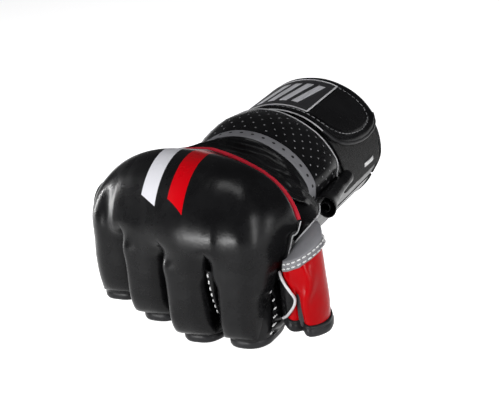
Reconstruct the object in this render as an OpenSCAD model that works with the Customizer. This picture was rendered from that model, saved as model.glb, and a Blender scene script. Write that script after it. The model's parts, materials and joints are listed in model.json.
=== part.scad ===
// Open-finger sparring glove for the right hand, closed to a fist, in millimetres.
// The origin is the centre of the cuff's mouth. +Y leads to the elbow, +X to the thumb side,
// and +Z to the back of the hand. The fingers hang down in front, at -Y.

/* [Cuff] */
// Bore of the cuff, where the wrist goes
cuff_bore_d = 55; // [50:1:64]
// Length of the split cuff under the strap
cuff_len = 60; // [56:1:72]
// Length of the closed wrist section in front of the cuff, with its band
wrist_len = 34; // [30:1:44]
// Width of the grey perforated band
band_w = 6.2; // [4:0.1:9]
// Width of the slit that lets the cuff open
slit_w = 6; // [3:0.5:10]
// Direction of the slit, from the thumb side towards the back of the hand
slit_angle = -30; // [-40:1:-26]
// Diameter of the rolled leather edge beside the thumb
roll_d = 5.8; // [4:0.1:8]

/* [Layers] */
// Thickness of the fabric linings
lining_t = 1.2; // [0.8:0.1:1.6]
// Thickness of the foam round the wrist
padding_t = 3; // [2:0.1:4]
// Thickness of the leather
leather_t = 1.5; // [1:0.1:2]
// Thickness of the hook tape and of the loop field
tape_t = 0.6; // [0.4:0.1:1]
// Thickness of sewn-on patches
patch_t = 0.5; // [0.3:0.1:0.8]
// Clearance between layers that are sewn together
sewn_gap = 0.1; // [0.05:0.01:0.2]
// Clearance between pieces that move against each other
free_gap = 0.3; // [0.25:0.05:0.5]

/* [Strap] */
// Width of the strap
strap_w = 51; // [40:1:53]
// Thickness of the strap
strap_t = 1.6; // [1.2:0.1:2.4]
// Direction of the strap's rounded tip, from the thumb side towards the back of the hand
strap_tip_angle = 28; // [20:1:36]
// Direction of the fold where the strap peels open
strap_fold_angle = 176; // [170:1:182]
// Width of the label patch, along the strap
label_len = 42; // [30:1:48]
// Height of the label patch, across the strap
label_w = 41; // [24:1:43]

/* [Back of the hand] */
// Width of one finger pad, with its share of the slit
finger_pitch = 24; // [22:0.5:27]
// Slit between neighbouring finger pads
finger_slit = 0.7; // [0.6:0.1:1.5]
// Offset of the row of fingers from the cuff's axis, towards the thumb
hand_x = -10; // [-12:0.5:-6]
// Length of the back pad, from its piping to the front of the middle finger pad
pad_len = 58; // [54:1:68]
// Length of the creased leather between the wrist and the back pad
flex_len = 19; // [15:1:26]
// Height of the knuckle axes over the cuff's axis
knuckle_z = 8; // [6:0.5:10]
// Height of the back pad's crown over the knuckle axes
crown_h = 34; // [30:0.5:38]
// Half width of the back pad, from its crown to either edge
pad_half_w = 53; // [51:0.5:58]
// Room for the finger round the knuckle axis
knuckle_room_r = 14.2; // [12.5:0.1:15]
// Share of the pad's length that the thumb end of the piping runs forward of its apex
piping_sweep = 0.414; // [0.2:0.002:0.43]
// Diameter of the piping
piping_d = 2.6; // [1.6:0.1:3.4]

/* [Fingers] */
// Share of the pad's length that the index pad stands back from the middle pad
index_setback = 0.026; // [0:0.002:0.07]
// Share of the pad's length that the ring pad stands back from the middle pad
ring_setback = 0.12; // [0.07:0.01:0.15]
// Share of the pad's length that the little pad stands back from the middle pad
little_setback = 0.26; // [0.2:0.01:0.28]
// Drop of the index pad below the knuckle axis
index_drop = 42; // [36:1:46]
// Drop of the middle pad below the knuckle axis
middle_drop = 42; // [36:1:46]
// Drop of the ring pad below the knuckle axis
ring_drop = 37; // [32:1:42]
// Drop of the little pad below the knuckle axis
little_drop = 32; // [29:1:38]
// Depth of a finger sleeve, from its front to its back
sleeve_depth = 23; // [20:0.5:25]
// Height of a hem binding
hem_h = 5; // [3:0.5:7]
// Angle over which a finger pad opens from the fist
finger_open = 70; // [60:1:72]

/* [Thumb] */
// Place of the thumb sleeve beside the index pad, from the cuff's axis
thumb_x = 50.9; // [50.9:0.1:54]
// How far the thumb sleeve stands back from the front of the middle finger pad
thumb_setback = 23; // [20:1:28]
// Outer depth of the thumb sleeve, along the hand
thumb_d = 25; // [23:0.5:25.5]
// Outer width of the thumb sleeve, across the hand
thumb_w = 21.4; // [20:0.1:21.4]
// Length of the thumb sleeve
thumb_len = 31; // [26:1:36]

/* [Hidden] */
$fn = 64;
// How far a cutting shape reaches beyond what it cuts
over = 1;

// Radii of the layers round the wrist, from the bore outwards
bore_r = cuff_bore_d / 2;
lining_r = bore_r + lining_t;
padding_r = lining_r + sewn_gap + padding_t;
shell_r = padding_r + sewn_gap + leather_t;
loop_r = shell_r + sewn_gap + tape_t;
hook_r = loop_r + free_gap + tape_t;
strap_r = hook_r + sewn_gap + strap_t;
patch_r = strap_r + sewn_gap + patch_t;

// Stations along the arm, from the cuff's mouth towards the fingers
binding_w = 2.4;
wrist_end = cuff_len + wrist_len;
strap_margin = 3;
strap_end = strap_margin + strap_w;
hand_back = wrist_end + flex_len;
piping_lap = 1;
piping_reach = hand_back - piping_lap;
reach = piping_reach + pad_len;
thumb_reach = reach - thumb_setback;
sew_seam = 0.3;

// Directions round the wrist, from the thumb side towards the back of the hand
panel_angle_a = -4;
panel_angle_b = 190;
loop_angle_a = -12;
loop_angle_b = 72;
base_angle_b = 300;
fold_gap_angle = 0.6;

// Fingers in order from the index: centre, place of the knuckle axis and lowest point of each pad
index_no = 0;
middle_no = 1;
ring_no = 2;
little_no = 3;
setback = pad_len * [index_setback, 0, ring_setback, little_setback];
drop = [index_drop, middle_drop, ring_drop, little_drop];
mid_no = 1.5;
function finger_x(i) = hand_x + (mid_no - i) * finger_pitch;
function knuckle_y(i) = -reach + setback[i] + crown_r(finger_x(i));
function pad_bottom(i) = knuckle_z - drop[i];
pad_half = (finger_pitch - finger_slit) / 2;

// The pad's crown across the hand: distance of its surface from the knuckle axis
crown_power = 2.6;
crown_shift = 3;
crown_x = hand_x + crown_shift;
function arch(q, power) = pow(max(0, 1 - pow(min(1, abs(q)), power)), 1 / power);
function crown_r(x) = crown_h * arch((x - crown_x) / pad_half_w, crown_power);
function smooth(q) = let (s = max(0, min(1, q))) s * s * (3 - 2 * s);
function lerp(a, b, q) = a + (b - a) * q;

// A closed solid between two grids of points that have the same rows and columns
module between(outer, inner) {
  rows = len(outer);
  cols = len(outer[0]);
  n = rows * cols;
  points = concat([for (row = outer) for (p = row) p], [for (row = inner) for (p = row) p]);
  function quad(a, b, c, d) = [[a, b, c], [a, c, d]];
  outer_faces = [for (r = [0:rows - 2]) for (c = [0:cols - 2]) let (k = r * cols + c)
    for (f = quad(k, k + 1, k + cols + 1, k + cols)) f];
  inner_faces = [for (f = outer_faces) [f[0] + n, f[2] + n, f[1] + n]];
  first_row = [for (c = [0:cols - 2]) for (f = quad(c, c + n, c + 1 + n, c + 1)) f];
  last = (rows - 1) * cols;
  last_row = [for (c = [0:cols - 2]) let (k = last + c) for (f = quad(k, k + 1, k + 1 + n, k + n)) f];
  first_col = [for (r = [0:rows - 2]) let (k = r * cols)
    for (f = quad(k, k + cols, k + cols + n, k + n)) f];
  last_col = [for (r = [0:rows - 2]) let (k = r * cols + cols - 1)
    for (f = quad(k, k + n, k + cols + n, k + cols)) f];
  polyhedron(points, concat(outer_faces, inner_faces, first_row, last_row, first_col, last_col));
}

// A tube wall between two stacks of rings that have the same points
module tube_wall(outer, inner) {
  rows = len(outer);
  cols = len(outer[0]);
  n = rows * cols;
  points = concat([for (row = outer) for (p = row) p], [for (row = inner) for (p = row) p]);
  function quad(a, b, c, d) = [[a, b, c], [a, c, d]];
  outer_faces = [for (r = [0:rows - 2]) for (c = [0:cols - 1]) let (k = r * cols, m = (c + 1) % cols)
    for (f = quad(k + c, k + m, k + cols + m, k + cols + c)) f];
  inner_faces = [for (f = outer_faces) [f[0] + n, f[2] + n, f[1] + n]];
  first_ring = [for (c = [0:cols - 1]) let (m = (c + 1) % cols) for (f = quad(c, c + n, m + n, m)) f];
  k = (rows - 1) * cols;
  last_ring = [for (c = [0:cols - 1]) let (m = (c + 1) % cols)
    for (f = quad(k + c, k + m, k + m + n, k + c + n)) f];
  polyhedron(points, concat(outer_faces, inner_faces, first_ring, last_ring));
}

// An oval ring across the hand, squarer with a higher power
ring_points = 36;
function oval(y, centre, half_w, half_h, power) = [for (k = [0:ring_points - 1])
  let (a = 360 * k / ring_points, c = cos(a), s = sin(a))
  [
    centre[0] + half_w * sign(c) * pow(abs(c), 2 / power),
    y,
    centre[1] + half_h * sign(s) * pow(abs(s), 2 / power)
  ]];

// A round layer of the wrist between two stations, with an optional sector of it
module layer(start, end, inner_r, outer_r) {
  translate([0, -start, 0]) rotate([90, 0, 0]) difference() {
    cylinder(h = end - start, r = outer_r);
    translate([0, 0, -over]) cylinder(h = end - start + 2 * over, r = inner_r);
  }
}

sector_step = 40;
module sector(start, end, inner_r, outer_r, angle_a, angle_b) {
  far = 2 * outer_r;
  steps = ceil((angle_b - angle_a) / sector_step);
  arc = [for (k = [0:steps]) let (a = lerp(angle_a, angle_b, k / steps)) [far * cos(a), far * sin(a)]];
  intersection() {
    layer(start, end, inner_r, outer_r);
    translate([0, -start + over, 0]) rotate([90, 0, 0])
      linear_extrude(end - start + 2 * over) polygon(concat([[0, 0]], arc));
  }
}

// The slit that the cuff opens at
module slit_cut() {
  rotate([0, -slit_angle, 0]) translate([0, -cuff_len - over, -slit_w / 2])
    cube([2 * patch_r, cuff_len + 2 * over, slit_w]);
}

module cuff_lining() {
  color("dimgray") difference() {
    layer(0, wrist_end, bore_r, lining_r);
    slit_cut();
  }
}

module cuff_padding() {
  color("gainsboro") difference() {
    layer(binding_w + sew_seam, cuff_len, lining_r + sewn_gap, padding_r);
    slit_cut();
  }
}

// The padded wrist swells under its back panel, most on the little finger's side, and flattens
// towards the band
piping_w = 1;
panel_start = cuff_len + piping_w;
panel_end = wrist_end - band_w - sew_seam;
thumb_swell = 3.8;
little_swell = 2.8;
swell_starts = [6, 55];
swell_spans = [16, 55];
swell_fade = 42;
swell_rim = 0.75;
swell_band = 0.45;
swell_mid = 0.36;
function swell(a) = smooth((panel_angle_b - a) / swell_fade) * (
  thumb_swell * smooth((a - swell_starts[0]) / swell_spans[0])
  + little_swell * smooth((a - swell_starts[1]) / swell_spans[1]));
function swell_share(y) = let (t = max(0, min(1, (y - panel_start) / (panel_end - panel_start))))
  lerp(swell_rim, swell_band, t) + swell_mid * sin(180 * t);
function round_wrist(r, a, y) = [r * cos(a), -y, r * sin(a)];
function swollen(r, a, y) = round_wrist(r + swell(a) * swell_share(y), a, y);

panel_rows = 5;
panel_columns = 30;
panel_stations = [for (k = [0:panel_rows]) lerp(panel_start, panel_end, k / panel_rows)];
panel_angles = [for (k = [0:panel_columns]) lerp(panel_angle_b, panel_angle_a, k / panel_columns)];
palm_columns = 26;
all_angles = concat(panel_angles, [for (k = [1:palm_columns - 1])
  lerp(panel_angle_a, panel_angle_b - 360, k / palm_columns)]);

module wrist_padding() {
  start = cuff_len + sew_seam;
  stations = concat(panel_stations, [wrist_end]);
  foot = [for (a = all_angles) round_wrist(padding_r, a, start)];
  step = [for (a = all_angles) round_wrist(padding_r, a, panel_start - sewn_gap)];
  color("gainsboro") tube_wall(
    concat([foot, step], [for (y = stations) [for (a = all_angles) swollen(padding_r, a, y)]]),
    [for (y = concat([start, panel_start - sewn_gap], stations))
      [for (a = all_angles) round_wrist(lining_r + sewn_gap, a, y)]]);
}

module cuff_shell() {
  color("black") difference() {
    layer(binding_w + sew_seam, cuff_len - piping_w, padding_r + sewn_gap, shell_r);
    slit_cut();
  }
}

// Perforations of the wrist's back panel: rows along the arm, staggered
hole_d = 1.6;
hole_pitch = 6;
hole_rows = 3;
hole_points = 10;
module wrist_back_panel() {
  function grid(r) = [for (y = panel_stations) [for (a = panel_angles) swollen(r, a, y)]];
  row_gap = (panel_end - panel_start) / (hole_rows + 1);
  holes = floor((panel_angle_b - panel_angle_a) * PI / 180 * shell_r / hole_pitch) - 1;
  step = (panel_angle_b - panel_angle_a) / (holes + 1);
  color("black") difference() {
    between(grid(shell_r), grid(padding_r + sewn_gap));
    for (row = [1:hole_rows], k = [1:2:holes]) {
      a = panel_angle_a + step * (k + row % 2);
      y = panel_start + row * row_gap;
      rotate([0, -a, 0]) translate([padding_r - over + swell(a) * swell_share(y), -y, 0]) rotate([0, 90, 0])
        cylinder(h = leather_t + 3 * over, d = hole_d, $fn = hole_points);
    }
  }
}

panel_gap_angle = 0.5;
module wrist_palm_panel() {
  color("black") sector(cuff_len + piping_w, wrist_end, padding_r + sewn_gap, shell_r,
    panel_angle_b + panel_gap_angle, panel_angle_a + 360 - panel_gap_angle);
}

// The pale cord that edges the wrist's back panel
cord_r = 0.8;
cord_turns = [-60, -20, 20, 60];
module wrist_panel_piping() {
  function stack(side) = [for (turn = cord_turns) [for (a = all_angles)
    round_wrist(padding_r + sewn_gap + cord_r + swell(a) * swell_rim + side * cord_r * cos(turn),
      a, cuff_len + cord_r * sin(turn))]];
  color("silver") tube_wall(stack(1), stack(-1));
}

module grey_band() {
  function grid(r) = [for (y = [wrist_end - band_w, wrist_end]) [for (a = panel_angles) swollen(r, a, y)]];
  color("darkgray") between(grid(shell_r + patch_t), grid(padding_r + sewn_gap));
}

module cuff_end_binding() {
  color("black") difference() {
    layer(0, binding_w, lining_r + sewn_gap, shell_r + patch_t);
    slit_cut();
  }
}

// A rolled lip along the thumb-side edge of the wrist's back panel, hollow at its ends
roll_gap = 1;
module rolled_slit_edge() {
  start = strap_end + roll_gap;
  length = wrist_end - band_w - start;
  color("black") translate([shell_r + sewn_gap + roll_d / 2, -start, 0]) rotate([90, 0, 0]) difference() {
    cylinder(h = length, d = roll_d);
    translate([0, 0, -over]) cylinder(h = length + 2 * over, d = roll_d - 2 * leather_t);
  }
}

loop_margin = 2;
module loop_field() {
  color("black") sector(strap_margin + loop_margin, strap_end - loop_margin, shell_r + sewn_gap, loop_r,
    loop_angle_a, loop_angle_b);
}

module strap_base() {
  color("black") sector(strap_margin, strap_end, shell_r + sewn_gap, strap_r,
    strap_fold_angle + fold_gap_angle, base_angle_b);
}

tag_len = 8;
tag_angle_a = loop_angle_a - 9;
tag_angle_b = loop_angle_a - 1;
module blank_tag() {
  inner_r = shell_r + sewn_gap;
  color("white") sector(binding_w + sew_seam, binding_w + tag_len, inner_r, inner_r + patch_t,
    tag_angle_a, tag_angle_b);
}

// The strap's tip is rounded by a cylinder that points out of the wrist
tip_share = 0.62;
tip_r = strap_w * tip_share;
module tip_round(radius) {
  tip_centre = strap_tip_angle + asin(min(1, radius / strap_r));
  rotate([0, -tip_centre, 0]) translate([0, -strap_margin - strap_w / 2, 0]) rotate([0, 90, 0])
    cylinder(h = 2 * patch_r, r = radius);
}

tip_angle_b = 72;
module strap_tail() {
  color("black") union() {
    sector(strap_margin, strap_end, hook_r + sewn_gap, strap_r, tip_angle_b, strap_fold_angle);
    intersection() {
      sector(strap_margin, strap_end, hook_r + sewn_gap, strap_r, 0, tip_angle_b);
      tip_round(tip_r);
    }
  }
}

tape_margin = 5;
tape_inset_angle = 12;
module hook_tape() {
  color("black") sector(strap_margin + tape_margin, strap_end - tape_margin, loop_r + free_gap, hook_r,
    strap_tip_angle + tape_inset_angle, loop_angle_b);
}

// The bare label patch and the narrow border round it lie between the tip and the fold
border_w = 1.4;
label_half_angle = label_len / 2 / strap_r * 180 / PI;
border_half_angle = label_half_angle + border_w / strap_r * 180 / PI;
label_angle = 98;
label_gap_angle = 0.2;
label_start = strap_margin + (strap_w - label_w) / 2;
module label_patch() {
  color("black") sector(label_start, label_start + label_w, strap_r + sewn_gap, patch_r,
    label_angle - label_half_angle, label_angle + label_half_angle);
}

module label_border() {
  edge = border_w + sewn_gap;
  color("silver") difference() {
    sector(label_start - edge, label_start + label_w + edge, strap_r + sewn_gap, patch_r,
      label_angle - border_half_angle - label_gap_angle, label_angle + border_half_angle + label_gap_angle);
    sector(label_start - sewn_gap, label_start + label_w + sewn_gap, strap_r - over, patch_r + over,
      label_angle - label_half_angle - label_gap_angle, label_angle + label_half_angle + label_gap_angle);
  }
}

tab_gap_angle = 2;
module strap_end_tab() {
  color("black") intersection() {
    sector(strap_margin + border_w, strap_end - border_w, strap_r + sewn_gap, patch_r, 0,
      label_angle - border_half_angle - tab_gap_angle);
    tip_round(tip_r - border_w);
  }
}

// The hand's section: a flat oval under the back pad
hand_inset = 4;
hand_half_w = 2 * finger_pitch - hand_inset;
hand_half_h = 15;
hand_power = 4;
hand_centre = [hand_x, knuckle_z + knuckle_room_r - free_gap - hand_half_h];

// The back pad runs from the knuckles to the piping, and its height falls a little towards the wrist.
// A column is a finger's number, a place across the hand, and a fixed height at the two outer edges.
back_fall = 0.84;
back_rows = 7;
back_cols = 5;
edge_inset = 0.5;
edge_x = pad_half_w - edge_inset;
edge_h = -1;
edge_lip = 0.8;
little_sweep = 0.433;
thumb_fall = 0.1;
thumb_power = 2.05;
edge_len = 2.9;
function piping_y(x) = max(knuckle_y(index_no) + edge_len, -piping_reach
  - pad_len * piping_sweep * (x < crown_x ? little_sweep : 1) * pow((x - crown_x) / pad_half_w, 2));
function thumb_r_at(q) = (back_fall - thumb_fall * sin(180 * q)) * arch(q, thumb_power);
function back_r(x) = let (q = (x - crown_x) / pad_half_w)
  q < 0 ? crown_r(x) * back_fall : crown_h * thumb_r_at(q);
function back_columns(lip) = concat(
  lip ? [[little_no, crown_x - edge_x, edge_h]] : [],
  [[little_no, crown_x - edge_x, undef]],
  [for (i = [little_no:-1:index_no]) for (k = [0:back_cols])
    [i, finger_x(i) + lerp(-pad_half, pad_half, k / back_cols), undef]],
  [[index_no, crown_x + edge_x, undef]],
  lip ? [[index_no, crown_x + edge_x, edge_h]] : []);
function back_y(i, x, q) = lerp(knuckle_y(i) + free_gap, piping_y(x), q);
function back_h(column, q, depth) = is_undef(column[2])
  ? lerp(crown_r(column[1]), back_r(column[1]), smooth(q)) - depth
  : column[2];
function inset(x, depth) = crown_x + max(depth - edge_x, min(edge_x - depth, x - crown_x));
function floor_z(x) = hand_centre[1]
  + (hand_half_h + free_gap) * arch((x - hand_x) / (hand_half_w + leather_t), hand_power);
function back_top(depth, lip) = [for (r = [back_rows:-1:0]) let (q = r / back_rows)
  [for (c = back_columns(lip))
    [inset(c[1], depth), back_y(c[0], c[1], q), knuckle_z + back_h(c, q, depth)]]];
function back_floor(depth) = [for (row = back_top(depth, false)) [for (p = row)
  [p[0], p[1], min(p[2] - edge_lip, floor_z(p[0]) + sewn_gap)]]];

module back_pad_cover() {
  color("black") between(back_top(0, true), back_top(leather_t, true));
}

module back_pad_foam() {
  skin = leather_t + sewn_gap;
  color("gainsboro") between(back_top(skin, false), back_floor(skin));
}

// The red cord along the pad's edge towards the wrist
piping_sides = 8;
piping_steps = 24;
piping_inset = 5;
module pad_piping() {
  span = pad_half_w - piping_inset;
  centres = [for (k = [0:piping_steps]) let (x = crown_x + lerp(-span, span, k / piping_steps))
    [x, piping_y(x) + piping_d / 2 + sewn_gap, knuckle_z + back_r(x) - piping_d / 2]];
  outward = [for (k = [0:piping_steps])
    let (ahead = centres[min(k + 1, piping_steps)] - centres[max(k - 1, 0)], side = cross(ahead, [0, 1, 0]))
    side / norm(side)];
  n = piping_sides;
  points = [for (k = [0:piping_steps]) for (j = [0:n - 1])
    centres[k] + piping_d / 2 * (cos(360 * j / n) * [0, 1, 0] + sin(360 * j / n) * outward[k])];
  walls = [for (k = [0:piping_steps - 1]) for (j = [0:n - 1]) let (a = k * n, m = (j + 1) % n)
    for (f = [[a + j, a + n + m, a + m], [a + j, a + n + j, a + n + m]]) f];
  last = piping_steps * n;
  caps = [for (j = [1:n - 2]) for (f = [[0, j, j + 1], [last, last + j + 1, last + j]]) f];
  color("crimson") polyhedron(points, concat(walls, caps));
}

// The pale raw edge of the leather under the pad on the index side
seam_h = 1.2;
seam_w = 2.4;
seam_inset = 2;
seam_len = 6;
seam_out = 0.6;
module side_seam() {
  x = inset(crown_x + edge_x, leather_t) - seam_w + seam_out;
  start = -knuckle_y(index_no) - seam_inset;
  color("silver") translate([x, -start, knuckle_z + edge_h - free_gap - seam_h])
    cube([seam_w, seam_len, seam_h]);
}

// Creased leather from the round wrist to the pad's edge and the palm, in folds that run round it
flex_folds = 5;
flex_rows = 15;
fold_depth = 0.6;
flex_inset = 3;
flex_half_w = pad_half_w - flex_inset;
flex_blend_low = 4;
flex_blend_h = 14;
flex_top = knuckle_z + crown_h * back_fall - piping_d;
flex_bottom = hand_centre[1] - hand_half_h - leather_t;
flex_centre = [crown_x, (flex_top + flex_bottom) / 2];
flex_half_h = (flex_top - flex_bottom) / 2;
module flex_panel() {
  wrist_r = padding_r + sewn_gap + leather_t;
  rows = [for (k = [flex_rows:-1:0]) k / flex_rows];
  start = -wrist_end - sew_seam;
  function far_y(p) = lerp(-hand_back + sew_seam, piping_y(p[0]) + piping_d + free_gap,
    smooth((p[2] - flex_centre[1] + flex_blend_low) / flex_blend_h));
  function under_pad(p, s, depth) = p[2] > flex_centre[1]
    ? lerp(p[2], min(p[2], max(flex_centre[1], knuckle_z + back_r(p[0]) - piping_d - depth)), s)
    : p[2];
  function flex_ring(q, depth) = let (
      s = smooth(q),
      fold = fold_depth * sin(360 * flex_folds * q) * sin(180 * q) - depth,
      centre = flex_centre * s,
      ring = oval(0, centre, lerp(wrist_r, flex_half_w, s) + fold, lerp(wrist_r, flex_half_h, s) + fold,
        lerp(2, crown_power, s))
    )
    [for (c = ring) let (p = [c[0], 0, under_pad(c, s, depth)]) [p[0], lerp(start, far_y(p), q), p[2]]];
  color("black") tube_wall([for (q = rows) flex_ring(q, 0)], [for (q = rows) flex_ring(q, leather_t)]);
}

// The lining's closed ring round the hand, with a longer upper side under the back pad
lining_inset = 0.5;
palm_inset = 5;
lining_front = -knuckle_y(little_no) - lining_inset;
palm_front = lining_front - palm_inset;
module hand_lining() {
  function front(z) = z > hand_centre[1] ? lining_front : palm_front;
  function at(depth, ahead) = [
    for (p = oval(0, hand_centre, hand_half_w - depth, hand_half_h - depth, hand_power))
      [p[0], -lerp(hand_back, front(p[2]), ahead), p[2]]];
  color("dimgray") tube_wall([at(0, 1), at(0, 0)], [at(lining_t, 1), at(lining_t, 0)]);
}

// Leather under the palm, from the little finger's side to the root of the thumb
palm_steps = 14;
palm_angle_a = 186;
palm_angle_b = 330;
module palm_panel() {
  function edge(y, grow) = [for (k = [0:palm_steps])
    let (a = lerp(palm_angle_b, palm_angle_a, k / palm_steps), c = cos(a), s = sin(a))
    [
      hand_centre[0] + (hand_half_w + grow) * sign(c) * pow(abs(c), 2 / hand_power),
      y,
      hand_centre[1] + (hand_half_h + grow) * sign(s) * pow(abs(s), 2 / hand_power)
    ]];
  ends = [-hand_back, -palm_front];
  color("black") between([for (y = ends) edge(y, free_gap + leather_t)], [for (y = ends) edge(y, free_gap)]);
}

// The tape folded over the front edge of the palm leather
edge_tape_w = 1.2;
edge_tape_share = 1.4;
module palm_edge_tape() {
  half = finger_pitch * edge_tape_share;
  bottom = hand_centre[1] - hand_half_h - free_gap - leather_t;
  color("black") translate([hand_x - half, -palm_front - sewn_gap - edge_tape_w, bottom])
    cube([2 * half, edge_tape_w, leather_t + free_gap + lining_t]);
}

// The surface of a finger's pad. Over the knuckle, an angle of 90 points up and 0 points forward, and the
// crown of the back pad passes into four separate bolsters. Below the knuckle the bolster hangs straight
// down, and its end rounds off to the hem.
bolster_power = 3.2;
valley_angle = 5;
valley_span = 55;
end_round = 17;
end_depth = 0.97;
end_draw = 0.1;
end_rim = 0.5;
bolster_rim = 1.2;
bolster_edge = knuckle_room_r + leather_t + bolster_rim;
spare_angle = 2;
knuckle_split = 90 - finger_open - spare_angle;
function bolster_r(i, u) = lerp(bolster_edge, crown_r(finger_x(i)), arch(u, bolster_power));
function knuckle_r(i, u, angle) = let (share = smooth((angle - valley_angle) / valley_span))
  max(bolster_edge, lerp(bolster_r(i, u), crown_r(finger_x(i) + u * pad_half), share));
function end_share(i, d) = max(0, (d - drop[i] + end_round) / end_round);
function around(i, u, angle, depth) = let (r = knuckle_r(i, u, angle) - depth)
  [finger_x(i) + u * (pad_half - depth), knuckle_y(i) - r * cos(angle), knuckle_z + r * sin(angle)];
function below(i, u, d, depth) = let (
    q = end_share(i, d),
    r = lerp(knuckle_room_r, bolster_r(i, u), sqrt(1 - pow(end_depth * q, 2))) - depth,
    across_half = (pad_half - depth) * (1 - end_draw * q * q),
    down = d * (1 - depth / drop[i])
  )
  [finger_x(i) + u * across_half, knuckle_y(i) - max(r, knuckle_room_r + end_rim), knuckle_z - down];
pad_cols = 8;
pad_rows = 10;
split_rows = 2;
rim_share = 0.9;
across = concat([-1], [for (k = [0:pad_cols]) rim_share * (2 * k / pad_cols - 1)], [1]);
split_gap_angle = 1;
split_top = knuckle_split - split_gap_angle;
function pad_surface(i, depth) = concat(
  [for (k = [0:split_rows - 1]) [for (u = across) around(i, u, split_top * (1 - k / split_rows), depth)]],
  [for (k = [0:pad_rows]) [for (u = across) below(i, u, drop[i] * k / pad_rows, depth)]]);
function pad_back(i, depth) = let (r = knuckle_room_r + sewn_gap) concat(
  [for (k = [0:split_rows - 1]) [for (u = across) let (angle = split_top * (1 - k / split_rows))
    [around(i, u, angle, depth)[0], knuckle_y(i) - r * cos(angle), knuckle_z + r * sin(angle)]]],
  [for (k = [0:pad_rows]) [for (u = across) let (p = below(i, u, drop[i] * k / pad_rows, depth))
    [p[0], knuckle_y(i) - r, p[2]]]]);

module pad_cover(i) {
  color("black") between(pad_surface(i, 0), pad_surface(i, leather_t));
}

module pad_foam(i) {
  skin = leather_t + sewn_gap;
  color("gainsboro") between(pad_surface(i, skin), pad_back(i, skin));
}

// The bend of the pad over one knuckle, which folds when the finger opens. On the two outer fingers a cheek
// of leather closes its free side, down to the knuckle axis.
knuckle_rows = 8;
axis_r = 1.5;
function cheek_side(i) = i == index_no ? 1 : i == little_no ? -1 : 0;
module knuckle(i) {
  angles = [for (k = [0:knuckle_rows]) lerp(90, knuckle_split, k / knuckle_rows)];
  function inner_r(u) = u == cheek_side(i) && u != 0 ? axis_r : knuckle_room_r + sewn_gap;
  color("black") between(
    [for (a = angles) [for (u = across) around(i, u, a, 0)]],
    [for (a = angles) [for (u = across)
      [finger_x(i) + u * pad_half, knuckle_y(i) - inner_r(u) * cos(a), knuckle_z + inner_r(u) * sin(a)]]]);
}

// A finger's sleeve is a rounded tube behind its pad, and its hem is the binding on the tube's end
sleeve_corner = 7;
sleeve_side = 1.2;
sleeve_drop = 2;
sleeve_top = hand_centre[1] - hand_half_h - leather_t - sleeve_drop;
module rounded_rect(w, d, r) {
  square([w - 2 * r, d], center = true);
  square([w, d - 2 * r], center = true);
  for (x = [-1, 1], y = [-1, 1]) translate([x * (w / 2 - r), y * (d / 2 - r)]) circle(r);
}

module finger_tube(i, top, height, grow, wall) {
  w = 2 * (pad_half - sleeve_side + grow);
  d = sleeve_depth + 2 * grow;
  translate([finger_x(i), knuckle_y(i) - knuckle_room_r + free_gap + sleeve_depth / 2, top - height])
    linear_extrude(height) difference() {
      rounded_rect(w, d, sleeve_corner + grow);
      rounded_rect(w - 2 * wall, d - 2 * wall, sleeve_corner + grow - wall);
    }
}

// The sleeve's cheek, on the free side of an outer finger, swings round the knuckle axis with it
cheek_r = knuckle_room_r - free_gap;
cheek_back = 4.5;
cheek_lower = 3;
cheek_sink = 1;
module cheek(i) {
  side = cheek_side(i);
  inner_x = pad_half - sleeve_side;
  cut_box = [sleeve_side + 2 * over, 4 * cheek_r, 4 * cheek_r];
  translate([finger_x(i) + (side > 0 ? inner_x : -pad_half), knuckle_y(i), knuckle_z]) {
    difference() {
      rotate([0, 90, 0]) cylinder(h = sleeve_side, r = cheek_r);
      rotate([-split_top, 0, 0]) translate([-over, -2 * cheek_r, 0]) cube(cut_box);
      translate([-over, cheek_back, -2 * cheek_r]) cube(cut_box);
      translate([-over, -free_gap, -cheek_lower]) cube(cut_box);
    }
    translate([0, -cheek_r, sleeve_top - knuckle_z - cheek_sink])
      cube([sleeve_side, sleeve_depth - sleeve_corner, knuckle_z - sleeve_top - cheek_r / 2]);
  }
}

module sleeve(i) {
  color("black") {
    finger_tube(i, sleeve_top, sleeve_top - pad_bottom(i), 0, leather_t);
    if (cheek_side(i) != 0) cheek(i);
  }
}

hem_grow = 0.7;
module hem(i) {
  color("black") finger_tube(i, pad_bottom(i) - sewn_gap, hem_h, hem_grow, leather_t + hem_grow);
}

// The gathered leather between the index sleeve and the thumb
side_panel_t = 0.9;
side_gathers = 5;
gather_depth = 0.5;
module index_side_panel() {
  height = sleeve_top - pad_bottom(index_no);
  steps = 4 * side_gathers;
  x = finger_x(index_no) + pad_half + sewn_gap;
  y = knuckle_y(index_no) - knuckle_room_r + free_gap;
  function bulge(k) = gather_depth * (1 - cos(360 * side_gathers * k / steps)) / 2;
  profile = [for (k = [0:steps]) [side_panel_t + bulge(k), -height * k / steps]];
  color("black") translate([x, y + sleeve_depth - sleeve_side, sleeve_top]) rotate([90, 0, 0])
    linear_extrude(sleeve_depth - sleeve_side) polygon(concat([[0, 0]], profile, [[0, -height]]));
}

// The thumb's sleeve and lining stand upright beside the index pad
thumb_top = 1;
thumb_half_w = thumb_w / 2;
thumb_half_d = thumb_d / 2;
thumb_inner = leather_t + sewn_gap + lining_t;
thumb_points = 40;
module thumb_tube(top, height, grow, inner) {
  function loop(depth) = [for (k = [0:thumb_points - 1]) let (a = 360 * k / thumb_points)
    [(thumb_half_w - depth) * cos(a), (thumb_half_d - depth) * sin(a)]];
  translate([thumb_x, -thumb_reach, top - height]) linear_extrude(height) difference() {
    polygon(loop(-grow));
    polygon(loop(inner));
  }
}

module thumb_sleeve() {
  color("red") thumb_tube(thumb_top, thumb_len, 0, leather_t);
}

module thumb_lining() {
  color("dimgray") thumb_tube(thumb_top, thumb_len, -leather_t - sewn_gap, thumb_inner);
}

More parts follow.
